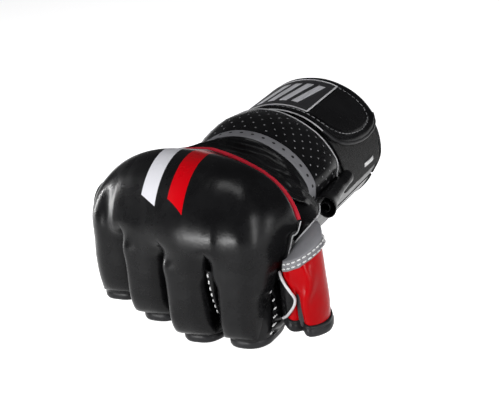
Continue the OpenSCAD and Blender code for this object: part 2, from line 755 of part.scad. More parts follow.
module thumb_hem() {
  color("black") thumb_tube(thumb_top - thumb_len - sewn_gap, hem_h, hem_grow, thumb_inner);
}

// Grey leather that arches from the side of the hand over into the thumb's sleeve, open on its inner side.
// Its thickness is laid off square to the arch, and level along the sleeve's rim.
root_rows = 8;
root_points = 18;
root_angle = 100;
root_front_angle = 35;
root_half_y = 11;
root_half_z = 6.5;
root_z = -5.5;
root_lift = 10;
module thumb_panel() {
  sleeve_end = [thumb_x, -thumb_reach, thumb_top + sewn_gap];
  hand_end = [finger_x(index_no) + pad_half + free_gap, -hand_back - root_half_y - sew_seam, root_z];
  function root_arc(q) = let (
      centre = lerp(sleeve_end, hand_end, q) + [0, 0, root_lift * sin(180 * q) * (1 - q)],
      tilt = [cos(90 * q), 0, sin(90 * q)],
      half_t = lerp(thumb_half_w, root_half_z, smooth(q)),
      half_y = lerp(thumb_half_d, root_half_y, smooth(q)),
      front = -lerp(root_angle, root_front_angle, smooth(q))
    )
    [for (k = [0:root_points]) let (a = lerp(front, root_angle, k / root_points))
      centre + half_t * cos(a) * tilt + half_y * sin(a) * [0, 1, 0]];
  outer = [for (k = [root_rows:-1:0]) root_arc(k / root_rows)];
  function out(r, c) = let (
      along = outer[min(r + 1, root_rows)][c] - outer[max(r - 1, 0)][c],
      side = outer[r][min(c + 1, root_points)] - outer[r][max(c - 1, 0)],
      square = cross(along, side),
      level = r == root_rows ? [square[0], square[1], 0] : square
    )
    level / norm(level);
  inner = [for (r = [0:root_rows]) [for (c = [0:root_points]) outer[r][c] - leather_t * out(r, c)]];
  color("gray") between(outer, inner);
}

// Black leather that hangs from the pad's edge over the root of the thumb
top_panel_h = 4.5;
top_panel_inset = 1;
top_panel_lift = 0.5;
top_panel_len = 11;
module thumb_top_panel() {
  start = -knuckle_y(index_no) - top_panel_inset;
  color("black") translate([crown_x + edge_x + sewn_gap, -start, knuckle_z + edge_h + top_panel_lift])
    cube([leather_t, top_panel_len, top_panel_h]);
}

cuff_lining();
cuff_padding();
wrist_padding();
cuff_shell();
wrist_back_panel();
wrist_palm_panel();
wrist_panel_piping();
grey_band();
cuff_end_binding();
rolled_slit_edge();
loop_field();
strap_base();
blank_tag();
strap_tail();
hook_tape();
label_patch();
label_border();
strap_end_tab();
flex_panel();
hand_lining();
palm_panel();
palm_edge_tape();
back_pad_foam();
back_pad_cover();
pad_piping();
side_seam();
thumb_top_panel();
knuckle(index_no);  // index_knuckle
knuckle(middle_no);  // middle_knuckle
knuckle(ring_no);  // ring_knuckle
knuckle(little_no);  // little_knuckle
pad_foam(index_no);  // index_pad_foam
pad_foam(middle_no);  // middle_pad_foam
pad_foam(ring_no);  // ring_pad_foam
pad_foam(little_no);  // little_pad_foam
pad_cover(index_no);  // index_pad_cover
pad_cover(middle_no);  // middle_pad_cover
pad_cover(ring_no);  // ring_pad_cover
pad_cover(little_no);  // little_pad_cover
sleeve(index_no);  // index_sleeve
sleeve(middle_no);  // middle_sleeve
sleeve(ring_no);  // ring_sleeve
sleeve(little_no);  // little_sleeve
hem(index_no);  // index_hem
hem(middle_no);  // middle_hem
hem(ring_no);  // ring_hem
hem(little_no);  // little_hem
index_side_panel();
thumb_panel();
thumb_lining();
thumb_sleeve();
thumb_hem();
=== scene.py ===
"""Looks of an open-finger sparring glove for the right hand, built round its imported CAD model."""

import json
import math

import bpy
import numpy as np
from mathutils import Matrix, Vector, noise


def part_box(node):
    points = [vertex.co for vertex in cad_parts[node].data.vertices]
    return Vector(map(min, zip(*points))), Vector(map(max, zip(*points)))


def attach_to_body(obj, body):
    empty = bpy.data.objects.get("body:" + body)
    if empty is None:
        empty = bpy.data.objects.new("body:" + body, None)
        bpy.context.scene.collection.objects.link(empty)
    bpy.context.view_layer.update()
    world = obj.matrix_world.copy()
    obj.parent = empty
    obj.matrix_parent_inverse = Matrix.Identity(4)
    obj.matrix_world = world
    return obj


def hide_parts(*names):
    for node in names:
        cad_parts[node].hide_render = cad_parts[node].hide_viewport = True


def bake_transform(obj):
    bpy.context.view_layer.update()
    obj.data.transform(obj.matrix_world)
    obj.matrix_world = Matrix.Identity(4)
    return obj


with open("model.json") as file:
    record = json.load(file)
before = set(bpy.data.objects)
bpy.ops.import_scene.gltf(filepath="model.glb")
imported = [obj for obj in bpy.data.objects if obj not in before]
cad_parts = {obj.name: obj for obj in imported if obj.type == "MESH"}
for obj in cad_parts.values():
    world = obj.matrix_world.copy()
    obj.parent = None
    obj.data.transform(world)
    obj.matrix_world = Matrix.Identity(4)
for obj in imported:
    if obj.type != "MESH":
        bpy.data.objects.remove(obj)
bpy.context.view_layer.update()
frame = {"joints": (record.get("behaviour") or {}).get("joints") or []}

# Sizes are in millimetres in the CAD model's frame: +X to the thumb, +Y to the elbow, +Z to the back of the
# hand. MM turns them into Blender's metres.
MM = 0.001
FINGERS = ("index", "middle", "ring", "little")


# Small tools for numbers

def lerp(a, b, q):
    return a + (b - a) * q


def smooth(q):
    q = np.clip(q, 0.0, 1.0)
    return q * q * (3 - 2 * q)


def arch(q, power):
    """A rounded hump, 1 in the middle and 0 at plus and minus 1, squarer with a higher power."""
    return (1 - np.clip(np.abs(q), 0, 1) ** power) ** (1 / power)


def unit(v):
    return v / np.maximum(np.linalg.norm(v, axis=-1, keepdims=True), 1e-9)


def rounded(c, power):
    """A cosine or sine, squared off by a power above 2, so that a circle becomes a rounded box."""
    return np.sign(c) * np.abs(c) ** (2 / power)


def at_places(places, run, line):
    """Points of a line at places along its run."""
    return np.stack([np.interp(places, run, line[:, k]) for k in range(3)], axis=1)


def relax(line, rounds):
    """The line with its kinks smoothed out. Its ends stay."""
    for _ in range(rounds):
        line[1:-1] = (line[:-2] + 2 * line[1:-1] + line[2:]) / 4
    return line


def soft_line(knots, count, rounds=6):
    """A smoothed line through a few places."""
    knots = np.array(knots, float)
    return relax(at_places(np.linspace(0, 1, count), np.linspace(0, 1, len(knots)), knots), rounds)


def box_mm(node):
    low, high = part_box(node)
    return np.array(low) / MM, np.array(high) / MM


def ripple(points, size, seed):
    """Soft noise from -1 to 1 at points in millimetres, with waves of about that size."""
    shift = Vector((seed * 17.3, seed * 5.1, seed * 9.7))
    flat = np.asarray(points).reshape(-1, 3)
    values = [noise.noise(Vector(p) / size + shift) for p in flat]
    return np.array(values).reshape(np.asarray(points).shape[:-1])


# Small tools for meshes

def add_mesh(name, points, faces, material, sharp=50):
    """A smooth-shaded object through points in millimetres. It keeps each point's place at rest, which the
    materials read, so that no grain slides when the glove moves."""
    mesh = bpy.data.meshes.new(name)
    mesh.from_pydata([tuple(p) for p in np.asarray(points) * MM], [], faces)
    mesh.polygons.foreach_set("use_smooth", [True] * len(mesh.polygons))
    rest = mesh.attributes.new("rest", "FLOAT_VECTOR", "POINT")
    rest.data.foreach_set("vector", (np.asarray(points) * MM).astype(np.float32).ravel())
    mesh.set_sharp_from_angle(angle=math.radians(sharp))
    mesh.materials.append(material)
    thing = bpy.data.objects.new(name, mesh)
    bpy.context.scene.collection.objects.link(thing)
    return thing


def grid_faces(rows, cols, around=False, closed=False, first=0):
    """Quads of a grid. around joins its last column to the first, closed its last row to the first."""
    faces = []
    for r in range(rows if closed else rows - 1):
        for c in range(cols if around else cols - 1):
            a, b = r * cols, (r + 1) % rows * cols
            d = (c + 1) % cols
            faces.append((first + a + c, first + a + d, first + b + d, first + b + c))
    return faces


def grid_normals(grid, around=False):
    """Unit normals of a grid of points, by the differences between neighbours."""
    along = np.gradient(grid, axis=0)
    if around:
        side = np.roll(grid, -1, axis=1) - np.roll(grid, 1, axis=1)
    else:
        side = np.gradient(grid, axis=1)
    return unit(np.cross(side, along))


def crumple(grid, size, seed, depth, around=False):
    """The grid with soft waves of a size and a depth in its face."""
    return grid + grid_normals(grid, around) * ripple(grid, size, seed)[..., None] * depth


RIM_STEPS = 4


def slab(name, grid, thick, material, around=False, sharp=50):
    """A sheet of leather or cloth: a grid for its face, its thickness laid off behind it, and its first and
    last rows rounded over as folded edges."""
    grid = np.asarray(grid, float)
    normals = grid_normals(grid, around)
    back = grid - normals * thick

    def rim(r, nearer):
        outwards = unit(grid[r] - grid[nearer])
        middle = grid[r] - normals[r] * thick / 2
        turns = [math.pi * k / RIM_STEPS for k in range(1, RIM_STEPS)]
        return [middle + thick / 2 * (normals[r] * math.cos(t) + outwards * math.sin(t)) for t in turns]

    loop = np.array(list(grid) + rim(-1, -2) + list(back[::-1]) + rim(0, 1)[::-1])
    rows, cols = loop.shape[:2]
    faces = grid_faces(rows, cols, around, closed=True)
    if not around:
        n = len(grid)
        for c, flip in ((0, True), (cols - 1, False)):
            ring = [r * cols + c for r in range(rows)]
            strip = [(ring[r], ring[r + 1], ring[2 * n + RIM_STEPS - 3 - r], ring[2 * n + RIM_STEPS - 2 - r])
                     for r in range(n - 1)]
            strip.append(tuple(ring[n - 1:n + RIM_STEPS]))
            strip.append(tuple(ring[2 * n + RIM_STEPS - 2:] + ring[:1]))
            faces += [tuple(reversed(f)) if flip else f for f in strip]
    return add_mesh(name, loop.reshape(-1, 3), faces, material, sharp)


def sweep(path, radius, sides=10, closed=False, squash=1.0, facing=None):
    """Points and faces of a round cord along a path. facing gives the direction that squash flattens."""
    path = np.asarray(path, float)
    n = len(path)
    if closed:
        ahead = unit(np.roll(path, -1, axis=0) - np.roll(path, 1, axis=0))
    else:
        ahead = unit(np.gradient(path, axis=0))
    if facing is None:
        facing = np.zeros_like(path)
        seed = np.array([0.31, 0.17, 0.93])
        for k in range(n):
            seed = unit(seed - ahead[k] * (seed @ ahead[k]))
            facing[k] = seed
    else:
        facing = unit(np.asarray(facing) - ahead * np.sum(facing * ahead, axis=1, keepdims=True))
    side = np.cross(ahead, facing)
    radius = np.broadcast_to(np.asarray(radius, float), n)[:, None]
    turns = [2 * math.pi * j / sides for j in range(sides)]
    rings = np.stack([path + radius * (facing * math.cos(t) * squash + side * math.sin(t)) for t in turns],
                     axis=1)
    faces = grid_faces(n, sides, around=True, closed=closed)
    if not closed:
        faces += [tuple(reversed(range(sides))), tuple(range((n - 1) * sides, n * sides))]
    return rings.reshape(-1, 3), faces


def cord(name, path, radius, material, **shape):
    points, faces = sweep(path, radius, **shape)
    return add_mesh(name, points, faces, material)


def join(name, parts, material, sharp=50):
    """One object from several (points, faces) pairs."""
    points, faces, first = [], [], 0
    for p, f in parts:
        points.append(np.asarray(p))
        faces += [tuple(v + first for v in face) for face in f]
        first += len(p)
    return add_mesh(name, np.concatenate(points), faces, material, sharp)


def walk(path, step):
    """Points and directions at even steps along a path, with the path's run and the places on it."""
    path = np.asarray(path, float)
    run = np.concatenate([[0], np.cumsum(np.linalg.norm(np.diff(path, axis=0), axis=1))])
    count = max(1, int(run[-1] // step))
    places = (np.arange(count) + 0.5) * run[-1] / count
    ahead = at_places(places + step / 4, run, path) - at_places(places - step / 4, run, path)
    return at_places(places, run, path), unit(ahead), run, places


# A stitch's place along its length and its share of the thread's width; a hole's share of its radius and its
# height over the leather; and a direction that no leather faces, to turn each hole's round by
STITCH_PROFILE = ((-0.5, 0.35), (-0.36, 0.85), (0.0, 1.0), (0.36, 0.85), (0.5, 0.35))
DOT_PROFILE = ((1.0, -0.3), (1.0, 0.06), (0.8, 0.1))
ASKEW = (0.2, 0.9, 0.37)


def stitches(name, lines, material, step=3.0, length=2.2, width=0.6, rise=0.1):
    """Rows of stitches: each line is a path and the outward directions along it."""
    parts = []
    for path, outs in lines:
        points, ahead, run, places = walk(path, step)
        outs = unit(at_places(places, run, np.asarray(outs, float)))
        for p, a, o in zip(points, ahead, outs):
            places_along = [p + a * length * s + o * rise for s, _ in STITCH_PROFILE]
            radii = [width / 2 * r for _, r in STITCH_PROFILE]
            parts.append(sweep(places_along, radii, sides=6))
    return join(name, parts, material, sharp=80)


def dots(name, places, outs, radius, material, sides=12):
    """Punched holes, each filled flush by a flat round of colour. On the wrist panel the pale round is a
    painted highlight on the hole's rim; on the grey band the dark round is the black beneath, with painted
    shade in the hole.
    """
    parts = []
    for p, o in zip(places, outs):
        u = unit(np.cross(o, ASKEW))
        v = np.cross(o, u)
        turns = [2 * math.pi * j / sides for j in range(sides)]
        rings = [[p + radius * r * (u * math.cos(t) + v * math.sin(t)) + o * z for t in turns]
                 for r, z in DOT_PROFILE]
        faces = grid_faces(len(DOT_PROFILE), sides, around=True)
        last = (len(DOT_PROFILE) - 1) * sides
        faces.append(tuple(range(last, last + sides)))
        parts.append((np.array(rings).reshape(-1, 3), faces))
    return join(name, parts, material, sharp=80)


def dress(nodes):
    """The piece stands for CAD nodes, which are hidden."""
    if nodes:
        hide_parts(*nodes)


def attach(piece, body, slot, *nodes):
    """The piece moves with one body."""
    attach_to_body(piece, body)
    dress(nodes)


def sew(name, grid, thick, material, body, slot, *nodes, around=False):
    """A sheet that moves with one body."""
    attach(slab(name, grid, thick, material, around), body, slot, *nodes)


def bridge(piece, bodies, ends, slot, *nodes):
    """The piece keeps its place as built, baked into its points, and stands for CAD nodes. The bodies and the
    two places that it would lead between are not used.
    """
    dress(nodes)
    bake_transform(piece)


# Materials

def hue(code):
    """Linear colour from an sRGB hex value."""
    channels = [int(code[k:k + 2], 16) / 255 for k in (1, 3, 5)]
    return tuple(c / 12.92 if c <= 0.04045 else ((c + 0.055) / 1.055) ** 2.4 for c in channels) + (1.0,)


def add_node(tree, kind, settings=None, **inputs):
    """Adds a node. Inputs are values, or sockets to link; an underscore stands for a space in their names."""
    made = tree.nodes.new("ShaderNode" + kind)
    for key, value in (settings or {}).items():
        setattr(made, key, value)
    for key, value in inputs.items():
        name = key.replace("_", " ")
        socket = made.inputs[int(name[1:])] if name[0] == "i" and name[1:].isdigit() else made.inputs[name]
        if isinstance(value, bpy.types.NodeSocket):
            tree.links.new(value, socket)
        else:
            socket.default_value = value
    return made


def start_material(name):
    """An empty material, its node tree and the socket with each point's place at rest."""
    material = bpy.data.materials.new(name)
    material.use_nodes = True
    tree = material.node_tree
    tree.nodes.clear()
    place = add_node(tree, "Attribute", {"attribute_name": "rest"}).outputs["Vector"]
    return material, tree, place


def per_mm(size):
    """Texture scale at which one cell or wave has that size in millimetres."""
    return 1 / (size * MM)


def bands_of(size):
    """Scale of the wave texture at which one band has that width in millimetres."""
    return 2 * math.pi / (size * MM) / 20


# The Mix node's settings for colours. Its inputs 0, 6 and 7 are the share and the two colours.
COLOURS = {"data_type": "RGBA"}
CLOUD_SIZE = 14.0
CREASE_SIZE = 5.0
PLY_SIZE = 0.6


def coated_leather(name, colour, worn, roughness, grain=0.9, grain_depth=0.035, crease_depth=0.2,
                   level=0.13, print_it=None):
    """Polyurethane-coated leather, embossed with a fine pebble grain. The coat gives a satin sheen that
    breaks up along pores and soft creases, and the colour lifts a little where the coat is rubbed."""
    material, tree, place = start_material(name)
    pores = add_node(tree, "TexVoronoi", {"feature": "SMOOTH_F1"}, Vector=place, Scale=per_mm(grain))
    clouds = add_node(tree, "TexNoise", Vector=place, Scale=per_mm(CLOUD_SIZE), Detail=4.0, Roughness=0.6)
    creases = add_node(tree, "TexNoise", Vector=place, Scale=per_mm(CREASE_SIZE), Detail=3.0,
                       Roughness=0.55, Distortion=0.8)
    rubbed = add_node(tree, "MapRange", Value=clouds.outputs["Fac"], From_Min=0.35, From_Max=0.75)
    tint = add_node(tree, "Mix", COLOURS, i0=rubbed.outputs[0], i6=hue(colour), i7=hue(worn)).outputs[2]
    if print_it:
        tint = print_it(tree, place, tint)
    gloss = add_node(tree, "MapRange", Value=clouds.outputs["Fac"], From_Min=0.3, From_Max=0.7,
                     To_Min=roughness - 0.05, To_Max=roughness + 0.06)
    soft = add_node(tree, "Bump", Strength=0.35, Distance=crease_depth * MM, Height=creases.outputs["Fac"])
    fine = add_node(tree, "Bump", Strength=0.5, Distance=grain_depth * MM,
                    Height=pores.outputs["Distance"], Normal=soft.outputs[0])
    shader = add_node(tree, "BsdfPrincipled", Base_Color=tint, Roughness=gloss.outputs[0], IOR=1.5,
                      Specular_IOR_Level=level, Normal=fine.outputs[0])
    add_node(tree, "OutputMaterial", Surface=shader.outputs[0])
    return material


def woven(name, colour, light, pitch, roughness=0.85, sheen=0.0):
    """Plain-woven cloth: crossing threads that shade each other, with a dull surface. The threads are drawn
    as coarse as the picture can show."""
    material, tree, place = start_material(name)
    x, y, z = [add_node(tree, "TexWave", {"bands_direction": axis}, Vector=place, Scale=bands_of(pitch),
                        Distortion=0.6, Detail_Scale=2.0).outputs["Fac"] for axis in ("X", "Y", "Z")]
    first = add_node(tree, "Math", {"operation": "MAXIMUM"}, i0=x, i1=y)
    threads = add_node(tree, "Math", {"operation": "MAXIMUM"}, i0=first.outputs[0], i1=z)
    tint = add_node(tree, "Mix", COLOURS, i0=threads.outputs[0], i6=hue(colour), i7=hue(light)).outputs[2]
    bump = add_node(tree, "Bump", Strength=0.6, Distance=0.15 * MM, Height=threads.outputs[0])
    shader = add_node(tree, "BsdfPrincipled", Base_Color=tint, Roughness=roughness, Sheen_Weight=sheen,
                      Normal=bump.outputs[0])
    add_node(tree, "OutputMaterial", Surface=shader.outputs[0])
    return material


def pile(name, colour, light, size):
    """Looped nylon pile: a matt mass of tiny loops that catch light on their crowns."""
    material, tree, place = start_material(name)
    loops = add_node(tree, "TexVoronoi", Vector=place, Scale=per_mm(size))
    fuzz = add_node(tree, "TexNoise", Vector=place, Scale=per_mm(size * 3), Detail=4.0, Roughness=0.7)
    crown = add_node(tree, "MapRange", Value=loops.outputs["Distance"], From_Min=0.6, From_Max=0.0)
    share = add_node(tree, "Math", {"operation": "MULTIPLY"}, i0=crown.outputs[0], i1=fuzz.outputs["Fac"])
    tint = add_node(tree, "Mix", COLOURS, i0=share.outputs[0], i6=hue(colour), i7=hue(light)).outputs[2]
    bump = add_node(tree, "Bump", Strength=1.0, Distance=0.3 * MM, Height=crown.outputs[0])
    shader = add_node(tree, "BsdfPrincipled", Base_Color=tint, Roughness=0.95, Sheen_Weight=0.05,
                      Normal=bump.outputs[0])
    add_node(tree, "OutputMaterial", Surface=shader.outputs[0])
    return material


def thread(name, colour, shade):
    """Bonded polyester thread: twisted plies that show as slanting light and dark."""
    material, tree, place = start_material(name)
    plies = add_node(tree, "TexWave", {"bands_direction": "DIAGONAL"}, Vector=place, Scale=bands_of(PLY_SIZE),
                     Distortion=0.5)
    tint = add_node(tree, "Mix", COLOURS, i0=plies.outputs["Fac"], i6=hue(shade), i7=hue(colour)).outputs[2]
    bump = add_node(tree, "Bump", Strength=0.5, Distance=0.05 * MM, Height=plies.outputs["Fac"])
    shader = add_node(tree, "BsdfPrincipled", Base_Color=tint, Roughness=0.55, Normal=bump.outputs[0])
    add_node(tree, "OutputMaterial", Surface=shader.outputs[0])
    return material


# The back pad's print: one white and one red bar, straight along the hand, with slanted ends.
BAR_HALF = 4.6
BAR_SLANT = 0.6
BARS = (("#c6c6cb", -17.0, -158.0, -119.0), ("#b2000b", -1.0, -163.0, -122.0))


def print_bars(tree, place, under):
    """Screen-printed ink: flat, clean-edged colour on the leather's coat."""
    axes = add_node(tree, "SeparateXYZ", Vector=place)
    colour = under
    for ink, middle, front, back in BARS:
        across = add_node(tree, "Math", {"operation": "SUBTRACT"}, i0=axes.outputs["X"], i1=middle * MM)
        within = add_node(tree, "Math", {"operation": "COMPARE"}, i0=across.outputs[0], i1=0.0,
                          i2=BAR_HALF * MM)
        slant = add_node(tree, "Math", {"operation": "MULTIPLY"}, i0=across.outputs[0], i1=BAR_SLANT)
        along = add_node(tree, "Math", {"operation": "ADD"}, i0=axes.outputs["Y"], i1=slant.outputs[0])
        length = add_node(tree, "Math", {"operation": "COMPARE"}, i0=along.outputs[0],
                          i1=(front + back) / 2 * MM, i2=(back - front) / 2 * MM)
        top = add_node(tree, "Math", {"operation": "GREATER_THAN"}, i0=axes.outputs["Z"], i1=knuckle_z * MM)
        flat = add_node(tree, "Math", {"operation": "MULTIPLY"}, i0=within.outputs[0], i1=length.outputs[0])
        share = add_node(tree, "Math", {"operation": "MULTIPLY"}, i0=flat.outputs[0], i1=top.outputs[0])
        colour = add_node(tree, "Mix", COLOURS, i0=share.outputs[0], i6=colour, i7=hue(ink)).outputs[2]
    return colour


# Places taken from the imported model

joints = {j["name"]: j for j in frame["joints"]}
knuckles = [np.array(joints[f + "_open"]["pos_m"]) / MM for f in FINGERS]
knuckle_z = knuckles[0][2]
pitch = knuckles[0][0] - knuckles[1][0]
pad_low, pad_high = box_mm("back_pad_cover")
crown_x = (pad_low[0] + pad_high[0]) / 2
edge_x = (pad_high[0] - pad_low[0]) / 2
crown_h = pad_high[2] - knuckle_z
piping_apex = pad_high[1]
drops = [knuckle_z - box_mm(f + "_pad_cover")[0][2] for f in FINGERS]

black_leather = coated_leather("black_coated_leather", "#0b0b0c", "#131314", 0.27)
printed_leather = coated_leather("printed_black_leather", "#0b0b0c", "#131314", 0.27, print_it=print_bars)
creased_leather = coated_leather("creased_black_leather", "#0c0c0d", "#171718", 0.28, crease_depth=0.3)
red_leather = coated_leather("red_patent_leather", "#980006", "#a20208", 0.2, grain=0.7, grain_depth=0.02,
                             level=0.08)
grey_leather = coated_leather("grey_leather", "#6b6b6e", "#79797d", 0.5)
binding_leather = coated_leather("black_binding_leather", "#161617", "#262628", 0.38, grain=0.6)
piping_leather = coated_leather("crimson_piping_leather", "#a81628", "#c22a3a", 0.4, grain=0.5)
raw_edge = coated_leather("pale_raw_leather_edge", "#a9a9ab", "#d0d0d2", 0.6, grain=0.4, grain_depth=0.08)
lining_cloth = woven("brushed_nylon_lining", "#1b1b1d", "#2d2d30", 0.8, sheen=0.2)
silver_yarn = woven("silver_label_yarn", "#9c9ca0", "#cacace", 0.5, roughness=0.5)
label_cloth = woven("satin_label_cloth", "#151516", "#232325", 0.5, roughness=0.55)
tag_cloth = woven("white_satin_tag", "#d5d5d6", "#f2f2f2", 0.4, roughness=0.6)
loop_pile = pile("looped_nylon_pile", "#030303", "#141415", 0.7)
hook_nylon = pile("moulded_nylon_hooks", "#101011", "#3a3a3c", 1.1)
pale_thread = thread("pale_polyester_thread", "#dcdcdc", "#9c9c9c")
grey_thread = thread("grey_polyester_thread", "#8e8e90", "#5c5c5e")
# Dark colour of the grey band's holes: the black beneath, with painted shade in the holes
band_hole_black_and_shade = woven("dark_backing_and_painted_hole_shade", "#020202", "#060606", 0.4, roughness=1.0)
# Pale colour of the wrist panel's holes: a painted highlight on their rims
painted_rim_highlight = woven("painted_hole_rim_highlight", "#4c4c4e", "#767678", 0.4, roughness=0.9)


# The back pad and the four finger pads are one smooth swelling. Over the knuckles it turns down in a round of
# crown height, and below them it splits into four bolsters.
CROWN_POWER = 2.6
LITTLE_POWER = 2.25
CROWN_SPARE = 0.5
BACK_FALL = 0.84
THUMB_FALL = 0.1
THUMB_POWER = 2.05
PIPING_SWEEP = 16.0
THUMB_SWEEP = 24.0
LITTLE_SWEEP = 0.65
BACK_ROWS = 26
EDGE_ROLL = 5.0
EDGE_SINK = 2.2
SIDE_COLUMNS = 8
LIP_COLUMNS = 4
SIDE_EDGE_Z = (0.8, 4.5)
LIP_BULGE = 1.2
LAST_TURN = 0.06
OUTER_SLOPE = 0.5


def knuckle_line(x):
    """Place along the hand of the knuckle axis, as one smooth line through the four knuckles."""
    xs = np.array([k[0] for k in knuckles[::-1]])
    ys = np.array([k[1] for k in knuckles[::-1]])
    slopes = np.gradient(ys, xs)
    x = np.asarray(x, float)
    held = np.clip(x, xs[0], xs[-1])
    k = np.clip(np.searchsorted(xs, held) - 1, 0, len(xs) - 2)
    span = xs[k + 1] - xs[k]
    t = (held - xs[k]) / span
    base = lerp(ys[k], ys[k + 1], smooth(t))
    lean = span * (slopes[k] * t * (1 - t) ** 2 - slopes[k + 1] * t ** 2 * (1 - t))
    return base + lean + (x - held) * OUTER_SLOPE * np.where(x > held, slopes[-1], slopes[0])


def across_crown(x):
    return (np.asarray(x, float) - crown_x) / (edge_x + CROWN_SPARE)


def crown(x):
    q = across_crown(x)
    return crown_h * np.where(q < 0, arch(q, LITTLE_POWER), arch(q, CROWN_POWER))


def back_rise(x):
    """Height of the pad's wrist edge over the knuckle axis: it falls away towards the thumb."""
    q = across_crown(x)
    thumb = arch(q, THUMB_POWER) * (BACK_FALL - THUMB_FALL * np.sin(np.pi * np.clip(q, 0, 1)))
    return crown_h * np.where(q < 0, BACK_FALL * arch(q, LITTLE_POWER), thumb)


def piping_y(x):
    q = across_crown(x)
    return piping_apex - np.where(q < 0, LITTLE_SWEEP * PIPING_SWEEP, THUMB_SWEEP) * q ** 2


FRONT_TURNS = np.linspace(-math.pi / 2, math.pi / 2, 33)
ACROSS = np.sin(FRONT_TURNS)


def finger_columns(i):
    return knuckles[i][0] + ACROSS * pitch / 2


def outer_edge(side, reach=edge_x):
    """Columns beyond the outermost fingers: out along the crown, then down the pad's side as a lip.
    Each is a place across the hand and a share of the way down the lip."""
    start = knuckles[0 if side > 0 else 3][0] + side * pitch / 2
    power = CROWN_POWER if side > 0 else LITTLE_POWER
    turn = math.acos(min(1.0, (side * (start - crown_x) / (reach + CROWN_SPARE))) ** (power / 2))
    turns = np.linspace(turn, LAST_TURN, SIDE_COLUMNS + 1)[1:]
    xs = crown_x + side * reach * np.cos(turns) ** (2 / power)
    lip = np.linspace(0, 1, LIP_COLUMNS + 1)[1:]
    return [(x, 0.0) for x in xs] + [(xs[-1], share) for share in lip]


def back_columns():
    little, thumb = outer_edge(-1), outer_edge(1)
    middle = [(x, 0.0) for i in (3, 2, 1, 0) for x in finger_columns(i)[0 if i == 3 else 1:]]
    return little[::-1] + middle + thumb


def back_point(x, lip, q):
    """A point of the back pad: q runs from the knuckles, 0, to the piping, 1."""
    start, end = knuckle_line(x), piping_y(x)
    y = lerp(start, end, q)
    rise = lerp(crown(x), back_rise(x), smooth(q))
    roll = np.clip(1 - (end - y) / EDGE_ROLL, 0, 1)
    top = rise - EDGE_SINK * (1 - np.sqrt(1 - roll ** 2)) * arch((x - crown_x) / edge_x, 8)
    low = lerp(SIDE_EDGE_Z[0], SIDE_EDGE_Z[1], q)
    height = lerp(top, low, lip)
    bulge = LIP_BULGE * math.sin(math.pi * lip) * np.sign(x - crown_x)
    return np.array([x + bulge, y, knuckle_z + height])


def hand_top(x):
    """Height of the lining's upper side, under the pad."""
    low, high = box_mm("hand_lining")
    middle = (low + high) / 2
    half = (high - low) / 2
    return middle[2] + (half[2] + 0.4) * arch((x - middle[0]) / (half[0] + 2), 4)


def make_back_pad():
    columns = back_columns()
    qs = np.linspace(0, 1, BACK_ROWS)
    top = np.array([[back_point(x, lip, q) for x, lip in columns] for q in qs])
    wave = ripple(top, size=26, seed=3)[..., None] * 0.35
    calm = np.sin(np.pi * np.linspace(0, 1, BACK_ROWS))[:, None, None]
    top = top + grid_normals(top) * wave * calm
    under = top.copy()
    under[..., 2] = np.minimum(top[..., 2] - 1.0, hand_top(top[..., 0]))
    rows, cols = top.shape[:2]
    n = rows * cols
    faces = grid_faces(rows, cols)
    faces += [tuple(v + n for v in reversed(f)) for f in grid_faces(rows, cols)]
    edge = list(range(cols)) + [r * cols + cols - 1 for r in range(1, rows)]
    edge += [(rows - 1) * cols + c for c in range(cols - 2, -1, -1)]
    edge += [r * cols for r in range(rows - 2, 0, -1)]
    faces += [(a, a + n, b + n, b) for a, b in zip(edge, edge[1:] + edge[:1])]
    points = np.concatenate([top.reshape(-1, 3), under.reshape(-1, 3)])
    pad = add_mesh("back_pad", points, faces, printed_leather)
    attach(pad, "hand", "black_leather", "back_pad_cover", "back_pad_foam")


# Below the knuckles: height along a pad is measured from the knuckle axis, upwards round the crown and
# downwards along the bolster. A slit starts at its top, and the valley over it fades out above. The seams are
# the free sides of the index and little pads: their height, their radius and their distance from the finger.
BOLSTER_POWERS = (4.6, 2.5)
VALLEY_POWER = 1.8
BOLSTER_EDGE = 17.0
SLIT_TOPS = (-11.0, -9.0, -5.0)
SLIT_HALVES = ((2.6, 0.9), (0.7, 0.45), (0.6, 0.45))
VALLEY = 13.0
SLIT_OPEN = 7.0
ARC_ROWS = 30
DOWN_ROWS = 36
WALL_STEPS = 5
OUTER_STEPS = SIDE_COLUMNS + LIP_COLUMNS
END_ROUND = 11.0
END_POWER = 2.2
END_DRAW = 0.1
HEM_FRONTS = (26.0, 27.5, 27.0, 20.5)
ROOM_R = 14.4
ROOM_LEAN = 27.0
SEAM_HEIGHTS = (-42.0, -30.0, -23.0, -18.6, -14.0, -10.0, -6.5, 0.0, 54.0)
SEAM_RADII = (14.2, 13.8, 12.6, 11.7, 10.9, 8.8, 6.2, 3.0, SIDE_EDGE_Z[0])
SEAM_HALVES = {0: (9.0, 9.4, 11.0, 13.6, 14.9, 16.0, 16.9, 17.6, 19.5),
               3: (9.0, 9.6, 10.5, 11.0, 11.3, 11.5, 11.7, 12.0, 13.2)}
OUTER_POWER = 2.3
OUTER_JOIN = {0: 0.42, 3: 0.7}
OUTER_FADE = 50.0
WALL = 1.2
BEHIND_COLUMNS = 5
CALM_REACH = 8.0
BLEND_END = math.radians(18)


def pad_rows(i):
    """Rows down a finger's pad: height along it, angle over the knuckle axis, and drop below that."""
    arc = [(crown_h * a, a, 0.0) for a in np.linspace(math.pi / 2, 0, ARC_ROWS)]
    down = [(-d, 0.0, d) for d in drops[i] * np.linspace(0, 1, DOWN_ROWS + 1)[1:] ** 0.9]
    return arc + down


def at_knuckle(x, y, radius, angle, drop):
    return np.array([x, y - radius * math.cos(angle), knuckle_z + radius * math.sin(angle) - drop])


def room(i, drop):
    """Radius of the finger's room behind a pad. It comes forward towards the pad's lower end."""
    return lerp(ROOM_R, HEM_FRONTS[i] - 0.5, smooth((drop - drops[i] + ROOM_LEAN) / ROOM_LEAN))


